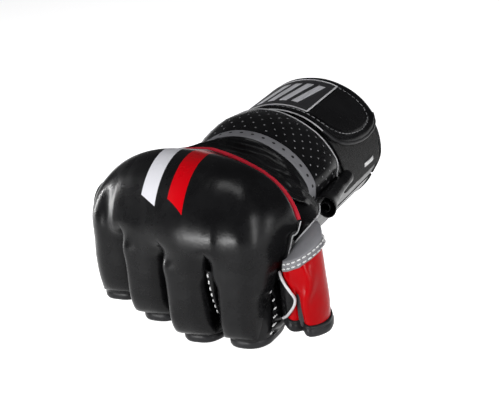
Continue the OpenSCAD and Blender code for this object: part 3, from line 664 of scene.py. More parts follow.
def pad_end(i, drop):
    """How far a pad has rounded off towards its lower end, from 0 to 1, and what is left of its swelling."""
    end = max(0.0, (drop - drops[i] + END_ROUND) / END_ROUND)
    return end, (1 - (0.985 * end) ** END_POWER) ** (1 / END_POWER)


def outer_side(i, side, row, turn, high_x, high_r):
    """A point on the free half of an outer finger's pad: one round from its middle, turn 0, to its seam,
    turn 1. Higher up it goes over into the crown."""
    height, angle, drop = row
    x0, y0 = knuckles[i][:2]
    end, swell = pad_end(i, drop)
    half = np.interp(height, SEAM_HEIGHTS, SEAM_HALVES[i]) * (1 - END_DRAW * end ** 2)
    seam_r = np.interp(height, SEAM_HEIGHTS, SEAM_RADII)
    share = smooth(height / OUTER_FADE)
    x = x0 + side * half * math.sin(turn * math.pi / 2) ** (2 / OUTER_POWER)
    radius = lerp(seam_r, crown(x0), math.cos(turn * math.pi / 2) ** (2 / OUTER_POWER))
    radius = lerp(min(radius, room(i, drop)), radius, swell)
    y = lerp(y0, float(knuckle_line(high_x)), share)
    return at_knuckle(lerp(x, high_x, share), y, lerp(radius, high_r, share), angle, drop)


def pad_front(i, u, row):
    """A point on the front of a finger's pad: u runs across it, from -1 to 1."""
    height, angle, drop = row
    x0, y0 = knuckles[i][:2]
    slit = i - 1 if u > 0 else i
    if (i == 0 and u >= 0) or (i == 3 and u <= 0):
        turn = abs(u) * OUTER_JOIN[i]
        high_x = x0 + u * pitch / 2
        return outer_side(i, 1 if i == 0 else -1, row, turn, high_x, float(crown(high_x)))
    top = SLIT_TOPS[slit]
    share = smooth((height - top) / VALLEY)
    line_share = smooth((height - top) / (VALLEY / 2))
    if i in OUTER_JOIN:
        apart = smooth(abs(u) * 1.5)
        share, line_share = (lerp(smooth(height / OUTER_FADE), s, apart) for s in (share, line_share))
    wide, narrow = SLIT_HALVES[slit]
    down = np.clip((top - height) / (drops[i] + top), 0, 1)
    half = pitch / 2 - lerp(wide, narrow, down) * smooth((top - height) / SLIT_OPEN)
    end, swell = pad_end(i, drop)
    x = x0 + u * half * (1 - END_DRAW * end ** 2)
    power = lerp(BOLSTER_POWERS[1 if u > 0 else 0], VALLEY_POWER, share)
    bolster = lerp(BOLSTER_EDGE, crown(x0), arch(u, power))
    radius = lerp(bolster, crown(x0 + u * pitch / 2), share)
    radius = lerp(min(radius, room(i, drop)), radius, swell)
    y = lerp(y0, float(knuckle_line(x0 + u * pitch / 2)), line_share)
    return at_knuckle(x, y, radius, angle, drop)


def pad_outer(i, side, row, step):
    """A point on the free side of an outer finger, from its front to the seam."""
    x, lip = outer_edge(side)[step]
    high = back_point(x, lip, 0.0)
    turn = lerp(OUTER_JOIN[i], 1.0, (step + 1) / OUTER_STEPS)
    return outer_side(i, side, row, turn, high[0], high[2] - knuckle_z)


def pad_wall(i, side, row):
    """The wall at one side of a finger's pad, from its front to the finger's room, as a list of points."""
    height, angle, drop = row
    edge = pad_front(i, side, row)
    outer = (i == 0 and side > 0) or (i == 3 and side < 0)
    face = [pad_outer(i, side, row, s) for s in range(OUTER_STEPS)] if outer else []
    if outer:
        last = face[-1]
        x, y = min(last[0] * side, edge[0] * side + 2) * side, knuckles[i][1]
        seam_r = math.hypot(last[1] - y, last[2] - knuckle_z + drop)
        start, end = seam_r + 0.3, max(room(i, drop), seam_r + 0.5)
    else:
        x, y = edge[0], lerp(knuckles[i][1], float(knuckle_line(edge[0])), smooth(height / VALLEY))
        start, end = math.hypot(edge[1] - y, edge[2] - knuckle_z + drop) - 0.4, room(i, drop)
    return face + [at_knuckle(x - side * WALL, y, lerp(start, end, k / WALL_STEPS), angle, drop)
                   for k in range(WALL_STEPS + 1)]


# Waves in the pads' leather: their size, seed and depth
PAD_WAVES = ((22, 5, 0.3), (7, 9, 0.1))


def make_finger_pad(i):
    finger = FINGERS[i]
    rows = []
    for row in pad_rows(i):
        front = [pad_front(i, u, row) for u in ACROSS]
        right, left = pad_wall(i, 1, row), pad_wall(i, -1, row)
        behind = [lerp(right[-1], left[-1], t) for t in np.linspace(0, 1, BEHIND_COLUMNS + 2)[1:-1]]
        rows.append(front + right + behind + left[::-1])
    grid = np.array(rows)
    wave = sum(ripple(grid, size, seed + i)[..., None] * depth for size, seed, depth in PAD_WAVES)
    heights = np.array([r[0] for r in pad_rows(i)])
    below = np.clip((crown_h * math.pi / 2 - heights) / CALM_REACH, 0, 1)
    calm = np.zeros(grid.shape[:2])
    calm[:, :len(ACROSS)] = (1 - ACROSS ** 4)[None, :] * below[:, None]
    grid = grid - grid_normals(grid, around=True) * wave * calm[..., None]
    cols = grid.shape[1]
    faces = [tuple(reversed(f)) for f in grid_faces(len(grid), cols, around=True)]
    last = (len(grid) - 1) * cols
    faces.append(tuple(range(last, last + cols)))
    pad = add_mesh(finger + "_pad", grid.reshape(-1, 3), faces, printed_leather)
    bridge(pad, ("hand", finger), pad_blend(i), "black_leather", finger + "_pad_cover", finger + "_pad_foam",
           finger + "_knuckle")


def pad_blend(i):
    """Where a finger's pad starts to follow the finger, over the knuckle, and where it does so fully."""
    reach = float(crown(knuckles[i][0]))
    start = knuckles[i] + np.array([0, 0, reach])
    end = knuckles[i] + reach * np.array([0, -math.cos(BLEND_END), math.sin(BLEND_END)])
    return start * MM, end * MM


make_back_pad()
for i in range(4):
    make_finger_pad(i)


# Trim of the pad: the crimson piping along its wrist edge, and the folded edge on the index side

PIPING_R = 1.25
PIPING_IN = 0.6
PIPING_OUT = 0.9
PIPING_SINK = 1.5
FOLD_R = 1.1
RAW_R = 0.42
TRIM_POINTS = 90
LIP_POINTS = 10
FOLD_ACROSS = np.array([0.0, -1.0, 0.35])


def make_piping():
    """A cord in a crimson cover, sewn into the pad's wrist edge."""
    xs = crown_x + (edge_x - PIPING_IN) * np.sin(np.linspace(-math.pi / 2, math.pi / 2, TRIM_POINTS))
    zs = knuckle_z + np.maximum(back_rise(xs) - PIPING_SINK, SIDE_EDGE_Z[1])
    path = np.stack([xs, piping_y(xs) + PIPING_OUT, zs], axis=1)
    attach(cord("piping", path, PIPING_R, piping_leather, sides=12), "hand", "red_piping", "pad_piping")


def make_pad_edge():
    """The index side of the pad ends in a folded edge with a pale raw line."""
    lip = [back_point(*outer_edge(1)[-1], q) for q in np.linspace(1, 0, LIP_POINTS)]
    rows = [r for r in pad_rows(0) if r[0] > SEAM_HEIGHTS[3]]
    side = [pad_outer(0, 1, row, OUTER_STEPS - 1) for row in rows]
    path = soft_line(lip[:-1] + side[len(side) // 3:], TRIM_POINTS, rounds=30)
    ahead = unit(np.gradient(path, axis=0))
    out = unit(np.cross(ahead, FOLD_ACROSS) * -1)
    out = np.where(out[:, :1] < 0, -out, out)
    fold = cord("pad_edge_fold", path + out * 0.1, FOLD_R, binding_leather, sides=8)
    bridge(fold, ("hand", "index"), pad_blend(0), "black_leather")
    raw = cord("pad_edge", path + out * FOLD_R, RAW_R, raw_edge, sides=8)
    bridge(raw, ("hand", "index"), pad_blend(0), "pale_edging", "side_seam")


make_piping()
make_pad_edge()


# Finger stalls, their hems, and the gathered gusset beside the index finger

AROUND = np.linspace(0, 2 * math.pi, 57)[:-1]
STALL_POWER = 2.8
STALL_HALF_W = 10.6
STALL_TAPER = 1.6
STALL_T = 1.4
STALL_ROWS = 18
HEM_BACK = 4.5
HEM_LINE = (0.95, -0.75)
HEM_LINE_R = 0.26
# Places out from the stall and down from its end, round a folded binding
HEM_PROFILE = ((-0.9, 0.3), (0.2, 0.5), (0.9, 0.2), (1.15, -0.5), (0.85, -0.95), (1.2, -1.5), (1.5, -2.6),
               (1.45, -3.9), (1.0, -4.8), (0.1, -5.2), (-0.9, -4.9), (-1.4, -3.8), (-1.5, -2.0), (-1.4, -0.6))


def oval(centre, half_x, half_y, power, turns=AROUND):
    """A rounded loop in the level plane, and its outward directions."""
    c, s = np.cos(turns), np.sin(turns)
    x, y = half_x * rounded(c, power), half_y * rounded(s, power)
    out = unit(np.stack([np.sign(c) * np.abs(c) ** (2 - 2 / power) / half_x,
                         np.sign(s) * np.abs(s) ** (2 - 2 / power) / half_y, 0 * c], axis=1))
    return np.stack([centre[0] + x, centre[1] + y, 0 * x + centre[2]], axis=1), out


def hem_ring(name, loop, out, material):
    """A folded binding round the end of a stall."""
    rows = np.array([loop + out * o + np.array([0, 0, z]) for o, z in HEM_PROFILE])
    rows = rows + out[None] * ripple(rows, size=6, seed=21)[..., None] * 0.25
    faces = [tuple(reversed(f)) for f in grid_faces(len(rows), rows.shape[1], around=True, closed=True)]
    return add_mesh(name, rows.reshape(-1, 3), faces, material, sharp=70)


def make_stall(i):
    """The leather tube that a finger goes through, from under its knuckle to the bound end."""
    finger = FINGERS[i]
    tube_low, tube_high = box_mm(finger + "_sleeve")
    x, y = knuckles[i][:2]
    top, bottom = tube_high[2], box_mm(finger + "_hem")[1][2]
    half_top, half_end = (tube_high[1] - tube_low[1]) / 2, (HEM_FRONTS[i] + HEM_BACK) / 2 - STALL_T
    middle_top, middle_end = (tube_high[1] + tube_low[1]) / 2, y + (HEM_BACK - HEM_FRONTS[i]) / 2
    loops = []
    for z in np.linspace(top, bottom - 1.0, STALL_ROWS):
        s = smooth((top - z) / (top - bottom))
        loops.append(oval((x, lerp(middle_top, middle_end, s), z), STALL_HALF_W - STALL_TAPER * s,
                          lerp(half_top, half_end, s), STALL_POWER)[0])
    grid = crumple(np.array(loops), size=9, seed=31 + i, depth=0.4, around=True)
    sew(finger + "_stall", grid, STALL_T, creased_leather, finger, "black_leather", finger + "_sleeve",
        around=True)
    loop, out = oval((x, middle_end, bottom), STALL_HALF_W - STALL_TAPER, half_end, STALL_POWER)
    hem = hem_ring(finger + "_hem_binding", loop, out, binding_leather)
    attach(hem, finger, "binding_tape", finger + "_hem")
    seam = loop + out * HEM_LINE[0] + np.array([0, 0, HEM_LINE[1]])
    line = cord(finger + "_hem_line", seam, HEM_LINE_R, grey_thread, sides=6, closed=True)
    attach(line, finger, "binding_tape")


GUSSET_HALF = 9.6
GUSSET_BULGE = 4.2
GUSSET_ROWS, GUSSET_COLUMNS = 46, 26
GUSSET_T = 0.9
GATHER = 0.7
GATHER_STEP = 4.6
GATHER_SWAY = 1.3
GATHER_FADE = 2.2
LACED_ROWS = range(8, 44, 7)
LACE_ENDS = np.array([[0.0, -1.8, -0.4], [0.9, 1.6, 0.5]])
LACE_OUTS = np.array([[0.7, -0.7, 0], [1.0, -0.2, 0]])


def make_gusset():
    """Soft leather between the index pad's side and its stall, gathered along the pad by a lacing."""
    low, high = box_mm("index_side_panel")
    x, y0 = knuckles[0][:2]
    across = np.linspace(0, 1, GUSSET_COLUMNS)[None, :]
    down = np.linspace(0, 1, GUSSET_ROWS)[:, None]
    front = lerp(low[1] - 1.0, y0 - HEM_FRONTS[0] + 8.0, smooth(down * 1.2 - 0.3))
    y = lerp(front, high[1] - 3, across)
    z = np.linspace(high[2] + 1.5, low[2] - 0.5, GUSSET_ROWS)[:, None] + 0 * y
    bulge = GUSSET_BULGE * np.sin(np.pi * np.clip(across * 0.9 + 0.1, 0, 1))
    bulge = bulge * np.sin(np.pi * np.clip(0.1 + down * 0.82, 0, 1))
    sway = ripple(np.stack([y, y, z], axis=2), size=8, seed=41) * GATHER_SWAY
    fold = GATHER * np.sin(2 * np.pi * (z + sway) / GATHER_STEP) * np.exp(-across * GATHER_FADE)
    grid = np.stack([x + GUSSET_HALF + 0.8 + bulge + fold, y, z], axis=2)
    sew("index_gusset", grid, GUSSET_T, creased_leather, "index", "black_leather", "index_side_panel")
    lines = [(grid[k, 0] + LACE_ENDS, LACE_OUTS) for k in LACED_ROWS]
    lacing = stitches("index_gusset_lacing", lines, pale_thread, length=3.0, width=0.85)
    attach(lacing, "index", "pale_edging")


WEB_R = 28.0
WEB_HALVES = (2.2, 0.8)
WEB_ROWS, WEB_COLUMNS = 24, 9
WEB_ENDS = (1.5, 10.0)
WEB_HOLLOW = 1.6
WEB_BACK = 5.0
WEB_T = 1.2
WEB_STITCHED = 3
TACK_U = 0.84
TACK_REACH = (-5.0, 2.0)
TACK_OUT = unit(np.array([0.7, -0.7, 0.1]))


def make_slits():
    """The slit between the index and middle pads shows a narrow web with one row of stitches. The other two
    slits are tacked at their tops."""
    x = (knuckles[0][0] + knuckles[1][0]) / 2
    y = knuckles[0][1] - WEB_R
    zs = np.linspace(knuckle_z + SLIT_TOPS[0] + WEB_ENDS[0], knuckle_z - drops[0] + WEB_ENDS[1], WEB_ROWS)
    turns = np.linspace(-1, 1, WEB_COLUMNS)
    grid = np.array([[[x + lerp(*WEB_HALVES, s) * t, y + WEB_HOLLOW * t * t + WEB_BACK * s ** 2, z]
                      for t in turns] for z, s in zip(zs, np.linspace(0, 1, WEB_ROWS))])
    sew("index_slit_web", grid[::-1], WEB_T, creased_leather, "index", "black_leather")
    line = grid[:, WEB_STITCHED] - np.array([0, 0.1, 0])
    seam = stitches("index_slit_stitching", [(line, [[0, -1.0, 0]] * len(line))], pale_thread, step=3.2,
                    length=1.9, width=0.8)
    attach(seam, "index", "pale_edging")
    for i in (1, 2):
        low, high = (SLIT_TOPS[i] + reach for reach in TACK_REACH)
        line = [pad_front(i + 1, TACK_U, row) for row in pad_rows(i + 1) if low < row[0] < high]
        tack = stitches(FINGERS[i] + "_slit_tack", [(line, [TACK_OUT] * len(line))], pale_thread, step=2.6,
                        length=2.0, width=0.8)
        attach(tack, FINGERS[i + 1], "pale_edging")


for i in range(4):
    make_stall(i)
make_gusset()
make_slits()


# The thumb: a red stall, a grey panel that leads over into it, and a black facing under the pad's edge

stall_low, stall_high = box_mm("thumb_sleeve")
thumb_x, thumb_y = (stall_low[0] + stall_high[0]) / 2 - 0.5, (stall_low[1] + stall_high[1]) / 2 + 1.5
thumb_half_x = (stall_high[0] - stall_low[0]) / 2 - 1.3
thumb_half_y = (stall_high[1] - stall_low[1]) / 2 - 1.0
THUMB_TURNS = np.linspace(0, 2 * math.pi, 81)[:-1]
THUMB_ROWS = 44
THUMB_LINING_T = 0.8
ROOT_T = 1.0
FACING_T = 1.2
FACING_EDGE_R = 0.4
RIM_RISE = 1.6
RIM_TILT = 4.3
RIM_TURN = math.radians(20)
END_TILT = 2.6
END_TURN = math.radians(-10)
END_RISE = 2.8
FOLD_TURN = math.radians(96)
FOLD_DEPTH = 4.6
FOLD_WIDE = 0.24
HUMP = 1.5
HUMP_WIDE = 0.28
LINING_IN = 3.4
LINING_TOP = -6.0
LINING_ROWS = 14
THUMB_BODIES = ("hand", "thumb")
THUMB_BLEND = (np.array([44.0, -137.0, 10.0]) * MM, np.array([51.0, -147.0, -6.0]) * MM)


def rim_z(turn):
    """Height of the slanting seam between the red stall and the grey panel."""
    return stall_high[2] + RIM_RISE + RIM_TILT * np.cos(turn - RIM_TURN)


def end_z(turn):
    """Height of the stall's slanting lower end."""
    return stall_low[2] + END_RISE - END_TILT * np.cos(turn - END_TURN)


def stall_point(turn, z, out=0.0):
    """A point on the stall. It widens downwards, a deep fold sinks in on its lower front, and the leather
    stands up in a soft hump beside that."""
    share = (stall_high[2] - z) / (stall_high[2] - stall_low[2])
    swell = 0.6 * np.sin(np.pi * np.clip(share * 0.8, 0, 1)) - 1.4 * np.clip(0.45 - share, 0, 1)
    lean = np.angle(np.exp(1j * (turn + FOLD_TURN - 0.2 * share)))
    fold = FOLD_DEPTH * np.exp(-(lean / FOLD_WIDE) ** 2) * smooth((share - 0.25) / 0.4)
    sway = 0.5 + 0.3 * np.sin(2 * np.pi * share)
    hump = HUMP * np.exp(-((lean - sway) / HUMP_WIDE) ** 2) * np.sin(np.pi * np.clip(share, 0, 1)) ** 0.5
    grow = swell - fold + hump + out - 0.3
    return np.stack([thumb_x + (thumb_half_x + grow) * np.cos(turn),
                     thumb_y + (thumb_half_y + grow) * np.sin(turn), z + 0 * turn], axis=-1)


def make_thumb_stall():
    """The red tube, the folded binding on its slanting end, and the lining inside."""
    c, s = np.cos(THUMB_TURNS), np.sin(THUMB_TURNS)
    top, end = rim_z(THUMB_TURNS), end_z(THUMB_TURNS)
    grid = np.array([stall_point(THUMB_TURNS, lerp(top - 0.6, end - 0.8, q))
                     for q in np.linspace(0, 1, THUMB_ROWS)])
    grid = crumple(grid, size=11, seed=51, depth=0.45, around=True)
    stall = slab("thumb_stall", grid[::-1], STALL_T, red_leather, around=True)
    bridge(stall, THUMB_BODIES, THUMB_BLEND, "red_leather", "thumb_sleeve")
    hem = hem_ring("thumb_hem_binding", stall_point(THUMB_TURNS, end), unit(np.stack([c, s, 0 * c], axis=1)),
                   binding_leather)
    attach(hem, "thumb", "binding_tape", "thumb_hem")
    x, y = thumb_x + (thumb_half_x - LINING_IN) * c, thumb_y + (thumb_half_y - LINING_IN) * s
    inner = np.array([np.stack([x, y, lerp(0 * c + LINING_TOP, end - 2, q)], axis=1)
                      for q in np.linspace(0, 1, LINING_ROWS)])
    sew("thumb_stall_lining", inner, THUMB_LINING_T, lining_cloth, "thumb", "lining_fabric", "thumb_lining",
        around=True)


ROOT_TOP = ((42.4, -147.0, -2.5), (43.0, -144.0, 0.2), (44.3, -140.0, 3.2), (47.2, -137.0, 7.2),
            (51.0, -133.5, 11.5), (50.0, -127.0, 10.0), (45.0, -121.0, 4.0))
ROOT_TURNS = (math.radians(-124), math.radians(118))
ROOT_BULGE = 2.6
ROOT_ROWS, ROOT_COLUMNS = 22, 61
# Heights over the stall's seam, and distances out from the stall
SKIRT = ((-2.2, 1.3), (-1.2, 1.4), (-0.2, 1.3), (0.8, 1.2), (1.8, 1.0))
SEWN_ROWS = (1, 3)


def root_grid():
    """The grey panel: a skirt that laps over the stall, then up over the thumb's root to the hand's side."""
    ts = np.linspace(0, 1, ROOT_COLUMNS)
    turns = lerp(*ROOT_TURNS, ts)
    skirt = [stall_point(turns, rim_z(turns) + z, out=o) for z, o in SKIRT]
    high = soft_line(ROOT_TOP, ROOT_COLUMNS)
    out = np.stack([np.cos(turns) * 0.5, np.sin(turns) * 0.3, 0 * turns + 1.0], axis=1)
    bulge = (ROOT_BULGE * (0.35 + 0.65 * smooth(ts / 0.6)))[:, None]
    rise = [lerp(skirt[-1], high, q) + out * bulge * math.sin(math.pi * q ** 0.8)
            for q in np.linspace(0, 1, ROOT_ROWS)[1:]]
    return np.array(skirt + rise)


def make_thumb_root():
    normals = grid_normals(root_grid())
    grid = crumple(root_grid(), size=12, seed=61, depth=0.2)
    panel = slab("thumb_root_panel", grid, ROOT_T, grey_leather)
    bridge(panel, THUMB_BODIES, THUMB_BLEND, "grey_leather", "thumb_panel")
    rows = [(grid[k][1:-1] + normals[k][1:-1] * 0.1, normals[k][1:-1]) for k in SEWN_ROWS]
    seam = stitches("thumb_root_stitching", rows, pale_thread, step=2.6, length=2.0, width=0.8, rise=0.35)
    bridge(seam, THUMB_BODIES, THUMB_BLEND, "pale_edging")


FACING_INNER = ((29.0, -104.0, 20.0), (35.0, -116.0, 18.0), (39.5, -127.0, 14.0), (42.0, -133.5, 10.0),
                (42.6, -136.0, 8.0), (42.6, -139.0, 4.0))
FACING_OUTER = ((41.0, -102.0, 7.0), (45.5, -112.0, 8.0), (49.5, -123.0, 10.5), (51.7, -133.0, 11.8),
                (49.2, -137.0, 9.0), (44.6, -140.0, 3.8))
FACING_ARCH = 0.9 * np.array([0.5, 0.0, 1.0])
FACING_EDGE_OUT = np.array([0.3, 0, 0.2])
FACING_ROWS, FACING_COLUMNS = 9, 30


def make_facing():
    """Black leather between the pad's edge and the grey panel, with a pale line on its own edge."""
    inner, outer = (soft_line(knots, FACING_COLUMNS) for knots in (FACING_INNER, FACING_OUTER))
    grid = np.array([lerp(inner, outer, q) + FACING_ARCH * math.sin(math.pi * q)
                     for q in np.linspace(0, 1, FACING_ROWS)])
    sew("thumb_facing", grid, FACING_T, black_leather, "hand", "black_leather", "thumb_top_panel")
    edge = cord("thumb_facing_edge", outer + FACING_EDGE_OUT, FACING_EDGE_R, raw_edge, sides=8)
    attach(edge, "hand", "pale_edging")


PATCH_HEIGHTS = (-5.0, -8.0, -11.0, -16.0, -20.0, -24.5, -28.0)
PATCH_TURNS = (-145.0, -118.0, -104.0, -96.0, -100.0, -117.0, -150.0)
PATCH_START = math.radians(-205)
PATCH_OUT = 1.3
PATCH_ROWS, PATCH_COLUMNS = 40, 20
INNER_PATCH_T = 0.8
INNER_PIPING_R = 0.65


def make_inner_patch():
    """Black leather sewn on the stall's inner side, with a pale piping on its round edge."""
    zs = np.linspace(PATCH_HEIGHTS[-1], PATCH_HEIGHTS[0], PATCH_ROWS)
    ends = np.radians(relax(np.interp(zs, PATCH_HEIGHTS[::-1], PATCH_TURNS[::-1]), 8))
    grid = np.array([stall_point(np.linspace(PATCH_START, end, PATCH_COLUMNS), z, out=PATCH_OUT)
                     for z, end in zip(zs, ends)])
    patch = slab("thumb_inner_patch", grid, INNER_PATCH_T, black_leather)
    bridge(patch, THUMB_BODIES, THUMB_BLEND, "black_leather")
    edge = cord("thumb_inner_piping", grid[:, -1], INNER_PIPING_R, raw_edge, sides=8)
    bridge(edge, THUMB_BODIES, THUMB_BLEND, "pale_edging")


for make in (make_thumb_stall, make_thumb_root, make_facing, make_inner_patch):
    make()


# The wrist, from the inside out: lining, padding, leather, panels and the creased flex zone.
# Angles are in degrees round the wrist, from the thumb side towards the back of the hand.

LINING_R = 28.6
SHELL_R = 33.3
PATCH_R = 34.0
STRAP_R = 36.6
PALM_IN = 2.0
PALM_FADES = (35.0, 26.0)
SLIT_AT = -30.0
SLIT_HALF = 1.6
PANEL_ANGLES = (-4.0, 190.0)
RIM_Y = -60.0
BAND_Y = (-87.7, -94.0)
STRAP_Y = (-3.0, -54.0)
LEATHER_T = 1.5
FELT_T = 0.6
PANEL_FELT_T = 2.4
LINING_T = 1.0
BAND_T = 1.6
CUFF_ROWS, CUFF_COLUMNS = 24, 97
CUFF_END_Y = -1.5
FELT_IN = 1.7
CUFF_LINING_ROWS = 30
MOUTH_Y = -1.2
MOUTH_HALF = 1.5
MOUTH_SIDES = 16


def ring(radius, angles, ys):
    """Rows along the wrist and columns round it."""
    a = np.radians(np.asarray(angles, float))[None, :]
    y = np.asarray(ys, float)[:, None]
    r = np.broadcast_to(radius, (len(ys), len(angles)))
    return np.stack([r * np.cos(a), y + 0 * a, r * np.sin(a)], axis=2)


def palm_side(angle):
    """Share by which the wrist is drawn in on its palm side, where it has less padding."""
    turn = np.mod(angle, 360.0)
    return smooth((turn - PANEL_ANGLES[1]) / PALM_FADES[0]) * smooth((356 - turn) / PALM_FADES[1])


def shell_radius(angle):
    return SHELL_R - PALM_IN * palm_side(angle)


def make_cuff():
    """The tube round the wrist, open along its slit: leather, felt and lining, bound at the mouth."""
    angles = np.linspace(SLIT_AT + SLIT_HALF, SLIT_AT + 360 - SLIT_HALF, CUFF_COLUMNS)
    ys = np.linspace(CUFF_END_Y, RIM_Y, CUFF_ROWS)
    shell = shell_radius(angles)[None, :]
    grid = crumple(ring(shell, angles, ys), size=14, seed=71, depth=0.25)
    sew("cuff_leather", grid, LEATHER_T, black_leather, "cuff", "black_leather", "cuff_shell")
    sew("cuff_felt", ring(shell - FELT_IN, angles, ys[1:]), FELT_T, lining_cloth, "cuff", "foam",
        "cuff_padding")
    lining = ring(LINING_R, angles, np.linspace(-0.5, BAND_Y[1], CUFF_LINING_ROWS))
    sew("cuff_lining_cloth", lining, LINING_T, lining_cloth, "cuff", "lining_fabric", "cuff_lining")
    rows = []
    for turn in np.linspace(0, 2 * math.pi, MOUTH_SIDES + 1)[:-1]:
        r = (shell + LINING_R - 0.6) / 2 + ((shell - LINING_R) / 2 + 0.95) * math.cos(turn)
        rows.append(ring(r, angles, [MOUTH_Y + MOUTH_HALF * math.sin(turn)])[0])
    faces = grid_faces(len(rows), CUFF_COLUMNS, closed=True)
    starts = [k * CUFF_COLUMNS for k in range(len(rows))]
    faces += [tuple(starts), tuple(k + CUFF_COLUMNS - 1 for k in reversed(starts))]
    mouth = add_mesh("cuff_mouth_binding", np.array(rows).reshape(-1, 3), faces, binding_leather)
    attach(mouth, "cuff", "binding_tape", "cuff_end_binding")


HOLE_R = 0.45
BAND_HOLE_R = 0.85
BAND_HOLE_STEP = 9.0
RIM_CORD_R = 0.3
PANEL_ROWS, PANEL_COLUMNS = 22, 91
PANEL_WRAP = (0, 0.4, 0.8)
PANEL_FELT_IN = 1.8
UNDER_ROWS, UNDER_COLUMNS = 26, 73
UNDER_GAP = 0.4
RIM_POINTS, CORNER_POINTS = 120, 20
ROUND_WRIST = np.array([1, 0, 1])
# Height of a swelling, the angle at which it starts and the angle that it takes to rise
THUMB_SWELL = (3.8, 6.0, 16.0)
LITTLE_SWELL = (2.8, 55.0, 55.0)
SWELL_ENDS, SWELL_MIDDLE, SWELL_BASE = (0.75, 0.45), 0.36, 0.1
PANEL_FADE = 42.0


def hole_places(grid, rows, columns, every):
    """Staggered places on a grid, and their outward directions."""
    normals = grid_normals(grid)
    spots = []
    for k, r in enumerate(rows):
        first = columns[0] + (k % 2) * (every // 2)
        spots += [(r, c) for c in range(first, columns[1], every)]
    return [grid[s] for s in spots], [normals[s] for s in spots]


def panel_radius(angle, y):
    """The padded wrist swells between its seams, most on the little finger's side."""
    angle = np.asarray(angle, float)
    high = sum(swell * smooth((angle - start) / fade) for swell, start, fade in (THUMB_SWELL, LITTLE_SWELL))
    across = np.clip((y - RIM_Y) / (BAND_Y[0] - RIM_Y), 0, 1)
    profile = lerp(*SWELL_ENDS, across) + SWELL_MIDDLE * np.sin(np.pi * across) + SWELL_BASE
    return SHELL_R + high * smooth((PANEL_ANGLES[1] - angle) / PANEL_FADE) * profile


def make_back_panel():
    """The padded, perforated leather on the back of the wrist."""
    angles = np.linspace(*PANEL_ANGLES, PANEL_COLUMNS)
    ys = np.linspace(RIM_Y - 1, BAND_Y[0], PANEL_ROWS)
    radius = panel_radius(angles[None, :], ys[:, None])
    rim_r = panel_radius(angles, RIM_Y)
    wrap = [ring(lerp(SHELL_R, rim_r, f)[None, :], angles, [RIM_Y - 0.3 - 0.5 * f]) for f in PANEL_WRAP]
    grid = crumple(np.concatenate(wrap + [ring(radius, angles, ys)]), size=10, seed=73, depth=0.25)
    sew("wrist_panel", grid, LEATHER_T, black_leather, "cuff", "perforated_black_leather",
        "wrist_back_panel")
    sew("wrist_felt", ring(radius - PANEL_FELT_IN, angles, ys), PANEL_FELT_T, lining_cloth, "cuff", "foam",
        "wrist_padding")
    places, outs = hole_places(grid, range(6, len(grid) - 1, 3), (3, PANEL_COLUMNS - 2), 4)
    # The holes' pale rounds are a painted highlight on their rims.
    attach(dots("wrist_panel_holes", places, outs, HOLE_R, painted_rim_highlight), "cuff", "perforated_black_leather")


def make_under_panel():
    angles = np.linspace(PANEL_ANGLES[1] + UNDER_GAP, PANEL_ANGLES[0] + 360 - UNDER_GAP, UNDER_COLUMNS)
    grid = ring(shell_radius(angles)[None, :], angles, np.linspace(RIM_Y - 1, BAND_Y[1], UNDER_ROWS))
    grid = crumple(grid, size=12, seed=74, depth=0.3)
    sew("wrist_under_panel", grid, LEATHER_T, black_leather, "cuff", "black_leather", "wrist_palm_panel")


def make_grey_band():
    angles = np.linspace(*PANEL_ANGLES, PANEL_COLUMNS)
    band = ring((panel_radius(angles, BAND_Y[0]) + 0.4)[None, :], angles, np.linspace(*BAND_Y, 9))
    sew("grey_band_leather", band, BAND_T, grey_leather, "cuff", "grey_leather", "grey_band")
    spots = np.arange(PANEL_ANGLES[0] + 5, PANEL_ANGLES[1] - 3, BAND_HOLE_STEP)
    places = ring((panel_radius(spots, BAND_Y[0]) + 0.42)[None, :], spots, [sum(BAND_Y) / 2])[0]
    outs = unit(places * ROUND_WRIST)
    # The holes' dark rounds are the black beneath with painted shade in them.
    attach(dots("grey_band_holes", places, outs, BAND_HOLE_R, band_hole_black_and_shade), "cuff", "grey_leather")


def make_rim_line():
    """The pale raw edge of the back panel, along the strap and down the thumb side."""
    angles = np.linspace(*PANEL_ANGLES, RIM_POINTS)
    rim = ring((panel_radius(angles, RIM_Y) + 0.2)[None, :], angles, [RIM_Y - 0.7])[0]
    corner = ring(SHELL_R + 0.35, [PANEL_ANGLES[0]], np.linspace(RIM_Y - 0.5, BAND_Y[0], CORNER_POINTS))[:, 0]
    line = cord("wrist_rim_cord", np.concatenate([corner[:0:-1], rim]), RIM_CORD_R, raw_edge, sides=8)
    attach(line, "cuff", "pale_edging", "wrist_panel_piping")


FLEX_ROWS = 64
FLEX_COLUMNS = 140
FLEX_HALF = (50.0, 21.8)
FLEX_MIDDLE = (-7.0, 12.2)
FLEX_PLEATS = 5.5
FLEX_FOLD = 1.1
FLEX_T = 1.3
FLEX_UNDER = 2.8
FLEX_PALM = 19.5
FLEX_LAP = 2.4
FLEX_THUMB_X = 36.0
# How much the pleats' wander is stretched along each axis, and how far they wander, as a share of a pleat
PLEAT_STRETCH = np.array([0.35, 0.6, 0.35])
PLEAT_SWAY = 0.7
WRINKLE_SIZE, WRINKLE = 3.5, 0.3
FLEX_BLEND = (np.array([0, -96.0, 0]) * MM, np.array([0, -111.5, 0]) * MM)


